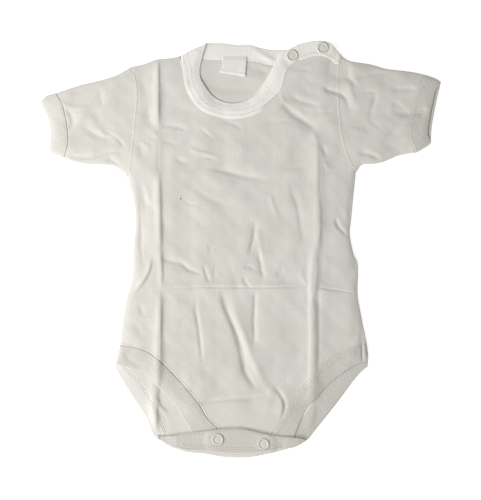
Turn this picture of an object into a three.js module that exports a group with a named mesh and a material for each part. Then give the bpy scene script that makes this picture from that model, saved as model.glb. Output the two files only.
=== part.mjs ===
// A baby's short-sleeved bodysuit of cream cotton interlock, laid out flat on its back.
// Millimetres. +Z is up and +Y runs to the neck. Left and right are as seen from above, so left is -X.
// The origin is on the surface that the garment lies on, under the middle of its outline.
// Each piece of cloth is a wall built round a middle surface. The front layer lies over the back layer.

import * as THREE from "three";
import { mergeGeometries, mergeVertices } from "three/addons/utils/BufferGeometryUtils.js";

// Driving dimensions
const BODY_LENGTH = 375; // shoulder to crotch fold, for a child about 62 cm tall
const CLOTH = 1.2; // wall of the interlock and of the rib
const SEAM_GAP = 0.3;
const SNAP = { radius: 5.2, opening: 3.6, height: 1.3, sides: 28 };
const STUD = { radius: 4, height: 0.8, sides: 20 };
const LABEL = { wall: 1, low: [[-17.2, 159.8], [4.2, 156.2]], high: [[-15, 181.6], [6.6, 180.6]] };
const CUFF_GAPE = 4; // how far the right cuff's upper layer draws back from the lower one

// Heights of the middle of each wall
const BAND_STEP = 0.3; // a band of rib stands this much above the interlock beside it
const BACK_Z = CLOTH / 2;
const FRONT_Z = BACK_Z + CLOTH + SEAM_GAP;
const SHOULDER_Z = FRONT_Z + STUD.height + SEAM_GAP;
const FLAP_Z = FRONT_Z + BAND_STEP + CLOTH + SEAM_GAP;
const FLAP_SNAP_Z = FRONT_Z + CLOTH + STUD.height + 2 * SEAM_GAP;
const LABEL_Z = CLOTH + SEAM_GAP + LABEL.wall / 2;
const HIGHEST_FRONT_Z = 5.6; // keeps the two layers less than 4 mm apart

// How the front layer rises from its edges
const LOFT = 1.9;
const LOFT_REACH = 6;
const FREE_EDGE = 5; // an open edge stands as high as the cloth this far in from a sewn one
const FOLD_START = 5; // folds reach their height about this far in from the outline
const PRESSED = { below: -163, above: -138 }; // the flap holds the front down under it
const SEAT = { flat: 9, reach: 17 }; // the cloth round a row of snaps is level this far out

// The tables below are drawn at this length, in millimetres from the origin.
const DRAWN_LENGTH = 375;
const GRADE = BODY_LENGTH / DRAWN_LENGTH;
const place = ([x, y]) => new THREE.Vector2(x * GRADE, y * GRADE);

// A smooth line through a few points, read by its share of length from 0 to 1.
const line = (points) => {
  const curve = new THREE.SplineCurve(points.map(place));
  return (t) => curve.getPointAt(Math.min(1, Math.max(0, t)));
};
const straight = (from, to) => (t) => from.clone().lerp(to, t);
const part = (edge, from, to) => (t) => edge(from + (to - from) * t);
const reversed = (edge) => part(edge, 1, 0);
const steps = (count) => Array.from({ length: count + 1 }, (_, i) => i / count);
const samples = (edge, count) => steps(count).map(edge);
const MEASURED_IN = 40;
const lengthOf = (edge) => {
  const points = samples(edge, MEASURED_IN);
  return points.slice(1).reduce((sum, p, i) => sum + p.distanceTo(points[i]), 0);
};

// Lines laid end to end, each with its share of the whole length.
const chain = (...edges) => {
  const lengths = edges.map(lengthOf);
  const total = lengths.reduce((a, b) => a + b);
  return (t) => {
    let at = t * total;
    let i = 0;
    while (i < edges.length - 1 && at > lengths[i]) {
      at -= lengths[i];
      i += 1;
    }
    return edges[i](Math.min(1, at / lengths[i]));
  };
};

// The share of a line at which one coordinate reaches a value; it must change one way along the line.
const shareAt = (edge, axis, value) => {
  const rising = edge(1)[axis] > edge(0)[axis];
  let [low, high] = [0, 1];
  for (let i = 0; i < 30; i++) {
    const middle = (low + high) / 2;
    if (edge(middle)[axis] < value === rising) low = middle;
    else high = middle;
  }
  return low;
};

// The outline as it lies, clockwise from the left shoulder
const shoulderLeft = line([[-99.5, 164], [-88.9, 166], [-75.4, 170.8], [-61.9, 172.1], [-53.7, 174.3]]);
const neckTurn = line([[-53.7, 174.3], [-45.5, 178.8], [-30.4, 185.6]]);
const neckBackFree = line([
  [-30.4, 185.6], [-16.9, 185.6], [-2, 183.8], [7, 184.3], [17.6, 181.4], [28, 179.6], [41.9, 179.6],
]);
const neckEndTop = line([[41.9, 179.6], [46.5, 181.6], [52, 184.2]]);
const placketTop = line([
  [52, 184.2], [59.6, 186.3], [71.5, 187.6], [80.5, 185.6], [86.6, 179.6], [90, 175.5],
]);
const sleeveTopRight = line([
  [90, 175.5], [95.6, 171.3], [101.5, 169], [116.6, 166.8], [131.6, 162.7], [154, 160], [166.3, 157.2],
]);
const cuffTopRight = line([[166.3, 157.2], [175, 154], [180.3, 150.8]]);
const mouthRight = line([[180.3, 150.8], [176.6, 134.6], [173.5, 119.5], [171.7, 107.6], [171.3, 95.6]]);
const cuffUnderRight = line([[157.7, 86.6], [167.6, 92.5], [171.3, 95.6]]);
const sleeveUnderRight = line([
  [103.6, 68], [107.6, 74.5], [111.3, 76.3], [118, 76.3], [128.5, 78.3], [143.6, 84.3], [157.7, 86.6],
]);
const sideRight = line([
  [103.6, 68], [101.5, 47.5], [99.3, 25], [98.3, 14], [101.5, -3.4], [105.6, -14], [105.3, -39.4],
  [107.6, -54.5], [113.6, -84.4],
]);
const hipRight = line([[113.6, -84.4], [115.5, -99.5], [114.3, -105.5]]);
const backLegRight = line([
  [114.3, -105.5], [104.6, -114.5], [86.6, -138.4], [68.6, -160.9], [60, -171.4], [50, -176.4], [44, -178.8],
]);
const crotchFold = line([
  [44, -178.8], [29, -182.8], [12.5, -186.2], [-3.3, -187.3], [-18, -186.4], [-32.6, -183.9], [-48.2, -182.5],
  [-61, -178.4],
]);
const backLegLeft = line([
  [-61, -178.4], [-70, -173.7], [-79, -166.5], [-85, -151.5], [-99.5, -129.4], [-109.2, -113], [-113, -106.7],
]);
const hipLeft = line([[-113, -106.7], [-111.4, -99.5], [-108.5, -86]]);
const sideLeft = line([
  [-108.5, -86], [-106.2, -66.4], [-103.2, -47], [-97.9, -27.5], [-96.5, -5], [-95, 17.6], [-95, 37.4],
  [-101.3, 64.4],
]);
const sleeveUnderLeft = line([[-101.3, 64.4], [-108.5, 70.7], [-117.5, 75.2], [-144.5, 77], [-158.7, 82.1]]);
const cuffUnderLeft = line([[-158.7, 82.1], [-169, 86.2], [-172.2, 88.8]]);
const mouthLeft = line([[-180.2, 132.4], [-173, 116.6], [-171.2, 101.5], [-172.2, 88.8]]);
const cuffTopLeft = line([[-166, 140.9], [-176, 137.6], [-180.2, 132.4]]);
const sleeveTopLeft = line([[-99.5, 164], [-110, 157.8], [-124.9, 152.6], [-144.5, 148], [-166, 140.9]]);

const OUTLINE = [
  shoulderLeft, neckTurn, neckBackFree, neckEndTop, placketTop, sleeveTopRight, cuffTopRight, mouthRight,
  cuffUnderRight, sleeveUnderRight, sideRight, hipRight, backLegRight, crotchFold, backLegLeft, hipLeft,
  sideLeft, sleeveUnderLeft, cuffUnderLeft, mouthLeft, cuffTopLeft, sleeveTopLeft,
];

// Seams and open edges inside the outline
const armholeLeft = line([
  [-101.3, 64.4], [-97.9, 86.6], [-95.2, 113.6], [-93.2, 138], [-95, 154], [-99.5, 164],
]);
const armholeRight = line([[103.6, 68], [93.3, 92.5], [89, 119], [87.6, 146.5], [88, 165.6]]);
const placketEnd = line([[88, 165.6], [90, 175.5]]);
const neckFrontSeam = line([
  [-53.7, 174.3], [-50, 161.5], [-49, 152.5], [-45.5, 141], [-38.3, 130.5], [-29.3, 124.2], [-17.5, 120.6],
  [-5.9, 119.3], [5.9, 121], [17.5, 126], [32.3, 138.7], [37.4, 145.4], [41.6, 160.4], [45.2, 165.1],
  [52.2, 170.1],
]);
const neckFrontFree = line([
  [-30.4, 185.6], [-33.5, 175], [-36.5, 161.5], [-34.2, 151], [-23, 136.8], [-6.5, 131.6], [10, 136.8],
  [20.3, 149], [29.7, 165.2], [36.5, 176.9], [41.9, 179.6], [52, 184.2],
]);
const placketSeam = line([[52.2, 170.1], [56.5, 172.4], [65.5, 175], [74.5, 175], [82, 171.5], [88, 165.6]]);
const neckBackSeam = line([
  [-53.7, 174.3], [-30.6, 170.5], [-9.5, 169.5], [7.7, 168.6], [24.8, 165.5], [40, 165.3], [52.2, 170.1],
]);
const cuffSeamLeft = line([[-166, 140.9], [-159.5, 128.5], [-155.4, 107], [-155.3, 94], [-158.7, 82.1]]);
const cuffSeamRight = line([[166.3, 157.2], [158.5, 141.5], [153.2, 119], [151.9, 102], [157.7, 86.6]]);
const frontLegSeamLeft = line([
  [-108.5, -86], [-96.5, -87.8], [-86, -90.7], [-74, -98.7], [-54.5, -118.2], [-37.2, -139.2],
  [-30.4, -150.5], [-17, -163.8],
]);
const frontLegFreeLeft = line([
  [-112, -102.5], [-96.5, -107.7], [-86, -111.4], [-77, -120.4], [-59, -140], [-51.5, -151.9], [-43, -166.3],
]);
const frontLegSeamRight = line([
  [27, -168.6], [36.5, -153.5], [48.6, -135], [57.6, -122.5], [66, -112.6], [76, -102.4], [91, -93],
  [113.6, -84.4],
]);
const frontLegFreeRight = line([
  [47.5, -170.8], [53.6, -155], [59.6, -142.9], [67, -133.9], [82, -119], [101.5, -104.7], [114.9, -100.5],
]);
const frontCrotchSeam = line([[-17, -163.8], [0, -163], [11.5, -165], [27, -168.6]]);
const crotchUnderEnd = line([[-40, -176], [-20, -180], [0, -182], [20, -180.5], [41, -176]]);
const backLegSeamLeft = line([
  [-61.5, -174.5], [-65, -166.2], [-75.4, -141.5], [-90.5, -117.5], [-104, -104], [-110.2, -94],
]);
const backLegSeamRight = line([
  [115, -94], [102, -98.5], [87, -109.5], [75.5, -122.5], [54, -152.5], [49.6, -163.5], [45.2, -174.8],
]);
const flapEdge = line([
  [54, -169.4], [38.5, -168], [23.6, -165.8], [11.5, -162.9], [2.5, -160.9], [-9.5, -160.7], [-42.5, -164.3],
  [-59, -167.2], [-75.4, -167.2],
]);
const FLAP_TIP_RIGHT = place([54, -172.6]);
const FLAP_TIP_LEFT = place([-73.5, -169.6]);

// The largest folds of the front. Each is a ridge, or a trough where its height is negative, whose
// sides fall away over the widths left and right of its run from "from" to "to".
const FOLDS = [
  {
    name: "packing crease, left chest",
    from: [-72.8, 172], via: [-72.2, 68], to: [-72.5, -34], height: 1.5, left: 4, right: 8,
  },
  {
    name: "packing crease, left hip",
    from: [-72.5, -34], via: [-70.2, -90], to: [-77, -150], height: 1.4, left: 4, right: 7,
  },
  {
    name: "packing crease, right chest",
    from: [70.5, 112], via: [72, 40], to: [68, -36], height: 1.6, left: 5, right: 9,
  },
  {
    name: "packing crease, right hip",
    from: [68, -36], via: [68.5, -80], to: [66, -146], height: 1.6, left: 8, right: 5,
  },
  {
    name: "packing crease, waist",
    from: [-72, -34.5], via: [8, -32.5], to: [104, -39], height: 1.1, left: 4, right: 6,
  },
  {
    name: "long belly fold",
    from: [-18, -33], via: [-6, -64], to: [8, -119], height: -1.4, left: 6, right: 4,
  },
  {
    name: "belly ridge beside it",
    from: [-4, -40], via: [13, -92], to: [34, -134], height: 0.9, left: 6, right: 5,
  },
  {
    name: "short belly fold",
    from: [12, -36], via: [14.5, -66], to: [12, -92], height: -0.9, left: 5, right: 5,
  },
  {
    name: "seat step",
    from: [-37, -141], via: [-10, -135], to: [20, -131], height: 0.8, left: 5, right: 9,
  },
  {
    name: "crotch hook",
    from: [24, -126], via: [39, -132], to: [36.5, -153], height: 1.2, left: 5, right: 6,
  },
  {
    name: "left waist fold",
    from: [-72, -4], via: [-58, -14], to: [-33, -21], height: -0.8, left: 5, right: 4,
  },
  {
    name: "middle fold",
    from: [12, 27], via: [13, 5], to: [19, -27], height: -0.9, left: 5, right: 5,
  },
  {
    name: "chest fold, left",
    from: [-62, 85], via: [-47, 75], to: [-20, 83], height: -0.8, left: 6, right: 5,
  },
  {
    name: "chest fold, middle",
    from: [-28, 75], via: [4, 66], to: [34, 50], height: -1.1, left: 8, right: 6,
  },
  {
    name: "right collar fold",
    from: [35, 133], via: [52, 118], to: [70, 107], height: -1.2, left: 6, right: 5,
  },
  {
    name: "right armhole fold",
    from: [73, 147], via: [93, 140], to: [102, 121], height: -1.1, left: 6, right: 5,
  },
  {
    name: "left shoulder fold",
    from: [-93, 158], via: [-86, 146], to: [-81, 116], height: -0.9, left: 6, right: 5,
  },
  {
    name: "left side roll",
    from: [-94, 66], via: [-87, 44], to: [-89, 0], height: -0.9, left: 4, right: 4,
  },
  {
    name: "left sleeve fold",
    from: [-144, 113], via: [-124, 100], to: [-101, 90], height: -1, left: 7, right: 6,
  },
  {
    name: "right sleeve fold",
    from: [134, 127], via: [150, 126], to: [168, 124], height: -0.9, left: 6, right: 6,
  },
];

// Snaps along the shoulder and across the crotch: where each is, how high the middle of the cloth
// under its ring is, and how high the middle of the cloth under its stud is
const SNAPS = [
  { name: "shoulder_inner", at: [46.4, 174.2], cloth: SHOULDER_Z, under: BACK_Z },
  { name: "shoulder_outer", at: [73.8, 181.2], cloth: SHOULDER_Z, under: BACK_Z },
  { name: "crotch_left", at: [-20.4, -170.7], cloth: FLAP_SNAP_Z, under: FRONT_Z },
  { name: "crotch_right", at: [20.5, -174.8], cloth: FLAP_SNAP_Z, under: FRONT_Z },
];
const shoulderSnaps = SNAPS.slice(0, 2).map((snap) => place(snap.at));
const crotchSnaps = SNAPS.slice(2).map((snap) => place(snap.at));

// The nearest place on a row of points: how far off it is, its share of the row and on which side it is
const nearest = (x, y, points) => {
  let best = { distance: Infinity };
  for (let i = 0; i < points.length - 1; i++) {
    const [a, b] = [points[i], points[i + 1]];
    const [dx, dy] = [b.x - a.x, b.y - a.y];
    const t = Math.min(1, Math.max(0, ((x - a.x) * dx + (y - a.y) * dy) / (dx * dx + dy * dy)));
    const distance = Math.hypot(x - a.x - t * dx, y - a.y - t * dy);
    if (distance < best.distance) {
      best = { distance, share: (i + t) / (points.length - 1), onLeft: dx * (y - a.y) > dy * (x - a.x) };
    }
  }
  return best;
};
const nearestOf = (x, y, rows) => Math.min(...rows.map((points) => nearest(x, y, points).distance));
const smooth = (low, high, value) => THREE.MathUtils.smoothstep(value, low, high);
const levelRound = (x, y, snaps) => 1 - smooth(SEAT.flat, SEAT.reach, nearest(x, y, snaps).distance);

const outlineRows = OUTLINE.map((edge) => samples(edge, 12));
const freeRows = [neckFrontFree, frontLegFreeLeft, frontLegFreeRight].map((edge) => samples(edge, 20));
const foldRows = FOLDS.map(({ from, via, to }) => samples(line([from, via, to]), 10));

// Each fold fades out over its two ends and falls away on both sides as a bell does.
const FOLD_FADE = 0.16;
const relief = (x, y) =>
  FOLDS.reduce((sum, fold, i) => {
    const { distance, share, onLeft } = nearest(x, y, foldRows[i]);
    const ends = smooth(0, FOLD_FADE, share) * smooth(0, FOLD_FADE, 1 - share);
    return sum + fold.height * ends * Math.exp(-((distance / (onLeft ? fold.left : fold.right)) ** 2));
  }, 0);

// The middle of the front layer's wall, anywhere in the outline
const frontZ = (x, y) => {
  const sewn = nearestOf(x, y, outlineRows);
  const inside = Math.min(sewn, nearestOf(x, y, freeRows) + FREE_EDGE);
  const lift = LOFT * (1 - Math.exp(-inside / LOFT_REACH));
  const folds = relief(x, y) * (1 - Math.exp(-((sewn / FOLD_START) ** 2)));
  const loose = FRONT_Z + (lift + folds) * smooth(PRESSED.below, PRESSED.above, y / GRADE);
  const height = THREE.MathUtils.lerp(loose, SHOULDER_Z, levelRound(x, y, shoulderSnaps));
  return Math.min(HIGHEST_FRONT_Z, Math.max(FRONT_Z, height));
};
const bandZ = (x, y) => frontZ(x, y) + BAND_STEP * (1 - levelRound(x, y, shoulderSnaps));
const backZ = () => BACK_Z;

// The flap that is folded up at the crotch lies on the front, and beyond the front's edges on the back.
const FLAP_TIPS = { from: 50, to: 72 };
const flapZ = (x, y) => {
  const tips = smooth(FLAP_TIPS.from, FLAP_TIPS.to, Math.abs(x / GRADE));
  const lying = THREE.MathUtils.lerp(FLAP_Z, FRONT_Z + SEAM_GAP, tips);
  return THREE.MathUtils.lerp(lying, FLAP_SNAP_Z, levelRound(x, y, crotchSnaps));
};

// Rows of points joined to their neighbours; in a closed one each row's end meets its start.
const surface = (rows, closed = false) => {
  const wide = rows[0].length;
  const faces = [];
  for (let i = 0; i < rows.length - 1; i++) {
    for (let j = 0; j < (closed ? wide : wide - 1); j++) {
      const next = (j + 1) % wide;
      const [a, b, c, d] = [i * wide + j, i * wide + next, (i + 1) * wide + next, (i + 1) * wide + j];
      faces.push(a, b, c, a, c, d);
    }
  }
  const position = rows.flat().flatMap((p) => [p.x, p.y, p.z]);
  const geometry = new THREE.BufferGeometry();
  geometry.setAttribute("position", new THREE.Float32BufferAttribute(position, 3));
  return geometry.setIndex(faces);
};

// A closed solid with its faces turned outwards, whichever way round they were made
const outward = (solid) => {
  const position = solid.attributes.position;
  const index = Array.from(solid.index.array);
  const point = (i) => new THREE.Vector3().fromBufferAttribute(position, i);
  let volume = 0;
  for (let f = 0; f < index.length; f += 3) {
    const [a, b, c] = index.slice(f, f + 3).map(point);
    volume += a.dot(b.cross(c)) / 6;
  }
  return volume > 0 ? solid : solid.setIndex(index.toReversed());
};

// The wall of a cloth: its middle surface moved half a wall each way, closed by a rim along its open
// edges, which first draw back half a seam gap. Cloth that lies flat is moved straight up and down, and
// none goes below the surface that it lies on.
const LIES_FLAT = 0.8;
const wall = (middle, thickness = CLOTH) => {
  middle.computeVertexNormals();
  const { position, normal } = middle.attributes;
  const index = Array.from(middle.index.array);
  const count = position.count;
  const point = (i) => new THREE.Vector3().fromBufferAttribute(position, i);
  const square = (i) => new THREE.Vector3().fromBufferAttribute(normal, i);

  const rim = new Map();
  for (let f = 0; f < index.length; f += 3) {
    for (const [start, end] of [[0, 1], [1, 2], [2, 0]]) {
      const [from, to] = [index[f + start], index[f + end]];
      if (!rim.delete(`${to},${from}`)) rim.set(`${from},${to}`, [from, to]);
    }
  }
  const inward = new Map();
  for (const [from, to] of rim.values()) {
    const across = square(from).cross(point(to).sub(point(from))).normalize();
    for (const end of [from, to]) inward.set(end, (inward.get(end) ?? new THREE.Vector3()).add(across));
  }

  const points = [1, -1].flatMap((side) =>
    Array.from({ length: count }, (_, i) => {
      const offset = square(i);
      if (Math.abs(offset.z) > LIES_FLAT) offset.set(0, 0, Math.sign(offset.z));
      const moved = point(i).addScaledVector(offset, (side * thickness) / 2);
      if (inward.has(i)) moved.addScaledVector(inward.get(i).clone().normalize(), SEAM_GAP / 2);
      moved.z = Math.max(moved.z, 0);
      return moved.toArray();
    }),
  );
  const faces = [];
  for (let f = 0; f < index.length; f += 3) {
    const [a, b, c] = index.slice(f, f + 3);
    faces.push(a, b, c, count + a, count + c, count + b);
  }
  for (const [from, to] of rim.values()) faces.push(from, count + from, count + to, from, count + to, to);

  const solid = new THREE.BufferGeometry();
  solid.setAttribute("position", new THREE.Float32BufferAttribute(points.flat(), 3));
  return outward(solid.setIndex(faces));
};

// A place between four edges: foot and head run left to right, left and right run foot to head.
const between = ({ foot, head, left, right }, u, v) => {
  const p = foot(u).multiplyScalar(1 - v).addScaledVector(head(u), v);
  p.addScaledVector(left(v), 1 - u).addScaledVector(right(v), u);
  p.addScaledVector(foot(0), -(1 - u) * (1 - v)).addScaledVector(foot(1), -u * (1 - v));
  return p.addScaledVector(head(0), -(1 - u) * v).addScaledVector(head(1), -u * v);
};
const raised = (p, height) => new THREE.Vector3(p.x, p.y, height(p.x, p.y));

// A strip between two edges that run the same way, cut across at the given shares of their length
const strip = (first, second, shares, wide, height) =>
  surface(steps(wide).map((w) => shares.map((t) => raised(first(t).lerp(second(t), w), height))));

// Cloth turning over from one layer to another: start is the first layer's last point, z is the height
// of the other and out points away from the cloth. The points between the two layers are given.
const TURN_POINTS = 3;
const turn = (start, out, z) => {
  const middle = (start.z + z) / 2;
  const radius = start.z - middle;
  return Array.from({ length: TURN_POINTS }, (_, i) => {
    const angle = (Math.PI * (i + 1)) / (TURN_POINTS + 1);
    const reach = Math.abs(radius) * Math.sin(angle);
    const height = middle + radius * Math.cos(angle);
    return new THREE.Vector3(start.x + out.x * reach, start.y + out.y * reach, height);
  });
};

// The front: columns of cloth between the sides, the packing creases and the neck, in two tiers that
// meet at the waist crease. Its long lines follow the creases, so that they stay sharp.
const WAIST = -34.5;
const COLUMNS = [
  { name: "left edge", cells: 5, waist: -72.5, seam: "left", footTo: -70 },
  { name: "left crease to neck", cells: 3, waist: -53, seam: "left", footTo: -46 },
  { name: "left of neck", cells: 7, waist: -22, seam: "left", footTo: -17 },
  { name: "under neck", cells: 6, waist: 12, seam: "crotch", footTo: 27 },
  { name: "right of neck", cells: 7, waist: 50, seam: "right", footTo: 46 },
  { name: "neck to right crease", cells: 3, waist: 69, seam: "right", footTo: 68 },
  { name: "right edge", cells: 6, seam: "right", footTo: 113.6 },
];
const TIER_ROWS = { lower: 11, upper: 20 };
const NECK_SPLIT = [0.37, 0.62]; // shares of the neck seam where the columns under it part
const creaseLeft = shareAt(shoulderLeft, "x", -72.8 * GRADE);
const creaseRight = shareAt(placketSeam, "x", 71 * GRADE);
const seams = { left: frontLegSeamLeft, crotch: frontCrotchSeam, right: frontLegSeamRight };

const feet = [];
for (const { seam, footTo } of COLUMNS) {
  const before = feet.at(-1);
  const from = before?.seam === seam ? before.to : 0;
  const endsThere = Math.abs(seams[seam](1).x - footTo * GRADE) < 0.1;
  const to = endsThere ? 1 : shareAt(seams[seam], "x", footTo * GRADE);
  feet.push({ seam, from, to, edge: part(seams[seam], from, to) });
}
const heads = [
  part(shoulderLeft, 0, creaseLeft),
  part(shoulderLeft, creaseLeft, 1),
  part(neckFrontSeam, 0, NECK_SPLIT[0]),
  part(neckFrontSeam, NECK_SPLIT[0], NECK_SPLIT[1]),
  part(neckFrontSeam, NECK_SPLIT[1], 1),
  part(placketSeam, 0, creaseRight),
  part(placketSeam, creaseRight, 1),
];

// The shares at which the front's columns cut a seam, so that the band beside it is cut there too
const BACK_STEP = 6; // the flat back's edges, and the bands beside them, are cut about this often
const evenCuts = (edge) => steps(Math.ceil(lengthOf(edge) / BACK_STEP));
const cuts = (stretches) =>
  stretches.flatMap(({ from, to, cells }, k) =>
    steps(cells).slice(k ? 1 : 0).map((u) => from + (to - from) * u),
  );
const footCuts = (name) =>
  cuts(feet.map((foot, k) => ({ ...foot, cells: COLUMNS[k].cells })).filter(({ seam }) => seam === name));
const neckCuts = cuts([
  { from: 0, to: NECK_SPLIT[0], cells: COLUMNS[2].cells },
  { from: NECK_SPLIT[0], to: NECK_SPLIT[1], cells: COLUMNS[3].cells },
  { from: NECK_SPLIT[1], to: 1, cells: COLUMNS[4].cells },
]);
const placketCuts = cuts([
  { from: 0, to: creaseRight, cells: COLUMNS[5].cells },
  { from: creaseRight, to: 1, cells: COLUMNS[6].cells },
]);

const frontPanel = () => {
  const waistLeft = shareAt(sideLeft, "y", WAIST * GRADE);
  const waistRight = shareAt(sideRight, "y", WAIST * GRADE);
  const inner = COLUMNS.slice(0, -1).map(({ waist }) => place([waist, WAIST]));
  const waist = [sideLeft(waistLeft), ...inner, sideRight(waistRight)];
  const across = inner.map((_, k) => straight(waist[k], waist[k + 1]));
  across.push(straight(waist.at(-2), waist.at(-1)));
  const lowerSides = [
    part(sideLeft, 0, waistLeft),
    ...inner.map((to, k) => straight(feet[k].edge(1), to)),
    part(sideRight, 1, waistRight),
  ];
  const upperSides = [
    chain(part(sideLeft, waistLeft, 1), armholeLeft),
    ...inner.map((from, k) => straight(from, heads[k](1))),
    chain(part(sideRight, waistRight, 0), armholeRight),
  ];
  const tier = (foot, head, sides, rows) =>
    steps(rows).map((v) =>
      COLUMNS.flatMap(({ cells }, k) => {
        const edges = { foot: foot[k], head: head[k], left: sides[k], right: sides[k + 1] };
        return steps(cells).slice(k ? 1 : 0).map((u) => raised(between(edges, u, v), frontZ));
      }),
    );
  const lower = tier(feet.map(({ edge }) => edge), across, lowerSides, TIER_ROWS.lower);
  const upper = tier(across, heads, upperSides, TIER_ROWS.upper);
  return wall(surface([...lower, ...upper.slice(1)]));
};

// The crotch fold, cut into places: where the flat back ends there, and which way is out
const FLAP_SHARES = steps(16);
const FLAP_CLOTH = { ends: 0.8, middle: 3 }; // interlock that shows between the fold and the flap's band
const flapFold = FLAP_SHARES.map((t) => {
  const edge = crotchFold(t);
  const along = crotchFold(t + 0.01).sub(crotchFold(t - 0.01)).normalize();
  const out = new THREE.Vector2(along.y, -along.x);
  if (out.y > 0) out.negate();
  const reach = (flapZ(edge.x, edge.y) - BACK_Z) / 2 + CLOTH / 2;
  return { start: edge.addScaledVector(out, -reach), out };
});
const flapSeam = FLAP_SHARES.map((t, i) => {
  const showing = FLAP_CLOTH.ends + FLAP_CLOTH.middle * Math.sin(Math.PI * t) ** 2;
  return flapFold[i].start.clone().addScaledVector(flapFold[i].out, -showing);
});

// The back lies flat. At the crotch it turns up over the front and ends at the flap's band.
const backPanel = () => {
  const beforeFold = [
    shoulderLeft, neckBackSeam, placketSeam, reversed(armholeRight), sideRight,
    part(hipRight, 0, shareAt(hipRight, "y", backLegSeamRight(0).y)), backLegSeamRight,
  ];
  const hipLeftStart = shareAt(hipLeft, "y", backLegSeamLeft(1).y);
  const afterFold = [backLegSeamLeft, part(hipLeft, hipLeftStart, 1), sideLeft, armholeLeft];
  const cut = (edge) => evenCuts(edge).slice(0, -1).map(edge);
  const folded = flapFold.map(({ start }) => start);
  const points = [...beforeFold.flatMap(cut), ...folded, ...afterFold.flatMap(cut)];
  const flat = new THREE.ShapeGeometry(new THREE.Shape(points));
  flat.deleteAttribute("normal");
  flat.deleteAttribute("uv");
  flat.translate(0, 0, BACK_Z);
  const columns = flapFold.map(({ start, out }, i) => {
    const low = raised(start, backZ);
    const high = raised(start, flapZ);
    return [low, ...turn(low, out, high.z), high, raised(flapSeam[i], flapZ)];
  });
  const rows = columns[0].map((_, k) => columns.map((column) => column[k]));
  return wall(mergeVertices(mergeGeometries([flat, surface(rows)]), 1e-3));
};

// The flap's band of rib, from the flap's seam to its free edge, with a tip beyond each end of the seam
const crotchBand = () => {
  const low = [FLAP_TIP_RIGHT, ...flapSeam, FLAP_TIP_LEFT];
  const high = low.map(({ x }) => flapEdge(shareAt(flapEdge, "x", x)));
  return wall(surface(steps(4).map((w) => low.map((p, i) => raised(p.clone().lerp(high[i], w), flapZ)))));
};

// A sleeve or a cuff: a tube pressed flat, from its root to its mouth. Its upper layer may draw back
// from its lower one at the mouth.
const TURN_INSET = 1.7; // the layers of a tube end this far inside its outline
const tube = ({ root, mouth, top, under }, rows, across, height, gape = 0) => {
  const edges = { foot: root, head: mouth, left: top, right: under };
  const rings = steps(rows).map((v) => {
    const inset = TURN_INSET / top(v).distanceTo(under(v));
    const flat = steps(across).map((u) => between(edges, inset + (1 - 2 * inset) * u, v));
    const lower = flat.map((p) => raised(p, backZ));
    const upper = flat.map((p, i) => {
      const back = gape * v * Math.sin((Math.PI * i) / across);
      return raised(new THREE.Vector2(p.x - back, p.y), height);
    });
    const outTop = flat[0].clone().sub(flat[1]).normalize();
    const outUnder = flat.at(-1).clone().sub(flat.at(-2)).normalize();
    const turnUnder = turn(upper.at(-1), outUnder, BACK_Z);
    return [...upper, ...turnUnder, ...lower.toReversed(), ...turn(lower[0], outTop, upper[0].z)];
  });
  return wall(surface(rings, true));
};

// A snap's ring and its stud, turned round the upright axis
const snapRing = () => {
  const { radius, opening, height, sides } = SNAP;
  const profile = [
    [opening, 0], [radius - 0.3, 0], [radius, 0.3], [radius - 0.1, 0.8], [radius - 0.6, height],
    [opening + 0.5, height], [opening, 0.8], [opening, 0],
  ].map(([r, z]) => new THREE.Vector2(r, z));
  const ring = new THREE.LatheGeometry(profile, sides);
  ring.deleteAttribute("normal");
  ring.deleteAttribute("uv");
  return outward(mergeVertices(ring.rotateX(Math.PI / 2), 1e-3));
};
const snapStud = () => {
  const stud = new THREE.CylinderGeometry(STUD.radius, STUD.radius, STUD.height, STUD.sides);
  return stud.rotateX(Math.PI / 2).translate(0, 0, STUD.height / 2);
};

// Finishes
const interlock = () => new THREE.MeshStandardMaterial({ color: 0xe6e3db, roughness: 0.95, metalness: 0 });
const rib = () => new THREE.MeshStandardMaterial({ color: 0xe9e6da, roughness: 0.95, metalness: 0 });
const enamel = () => new THREE.MeshStandardMaterial({ color: 0xe2e3d2, roughness: 0.35, metalness: 0 });
const tape = () => new THREE.MeshStandardMaterial({ color: 0xf0efec, roughness: 0.8, metalness: 0 });

const onesie = new THREE.Group();
const add = (name, geometry, material, [x, y, z] = [0, 0, 0]) => {
  const mesh = new THREE.Mesh(geometry, material);
  mesh.name = name;
  mesh.position.set(x, y, z);
  onesie.add(mesh);
};

// Body
add("front_panel", frontPanel(), interlock());
add("back_panel", backPanel(), interlock());

// Sleeves and their cuffs
const tubes = [
  {
    name: "sleeve_left", material: interlock, rows: 8, height: frontZ,
    edges: { root: reversed(armholeLeft), mouth: cuffSeamLeft, top: sleeveTopLeft, under: sleeveUnderLeft },
  },
  {
    name: "sleeve_right", material: interlock, rows: 8, height: frontZ,
    edges: {
      root: chain(reversed(placketEnd), reversed(armholeRight)),
      mouth: cuffSeamRight, top: sleeveTopRight, under: sleeveUnderRight,
    },
  },
  {
    name: "cuff_left", material: rib, rows: 3, height: bandZ,
    edges: { root: cuffSeamLeft, mouth: mouthLeft, top: cuffTopLeft, under: cuffUnderLeft },
  },
  {
    name: "cuff_right", material: rib, rows: 3, height: bandZ, gape: CUFF_GAPE,
    edges: { root: cuffSeamRight, mouth: mouthRight, top: cuffTopRight, under: cuffUnderRight },
  },
];
const TUBE_CELLS = 11;
for (const { name, material, rows, height, edges, gape } of tubes) {
  add(name, tube(edges, rows, TUBE_CELLS, height, gape), material());
}

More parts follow.
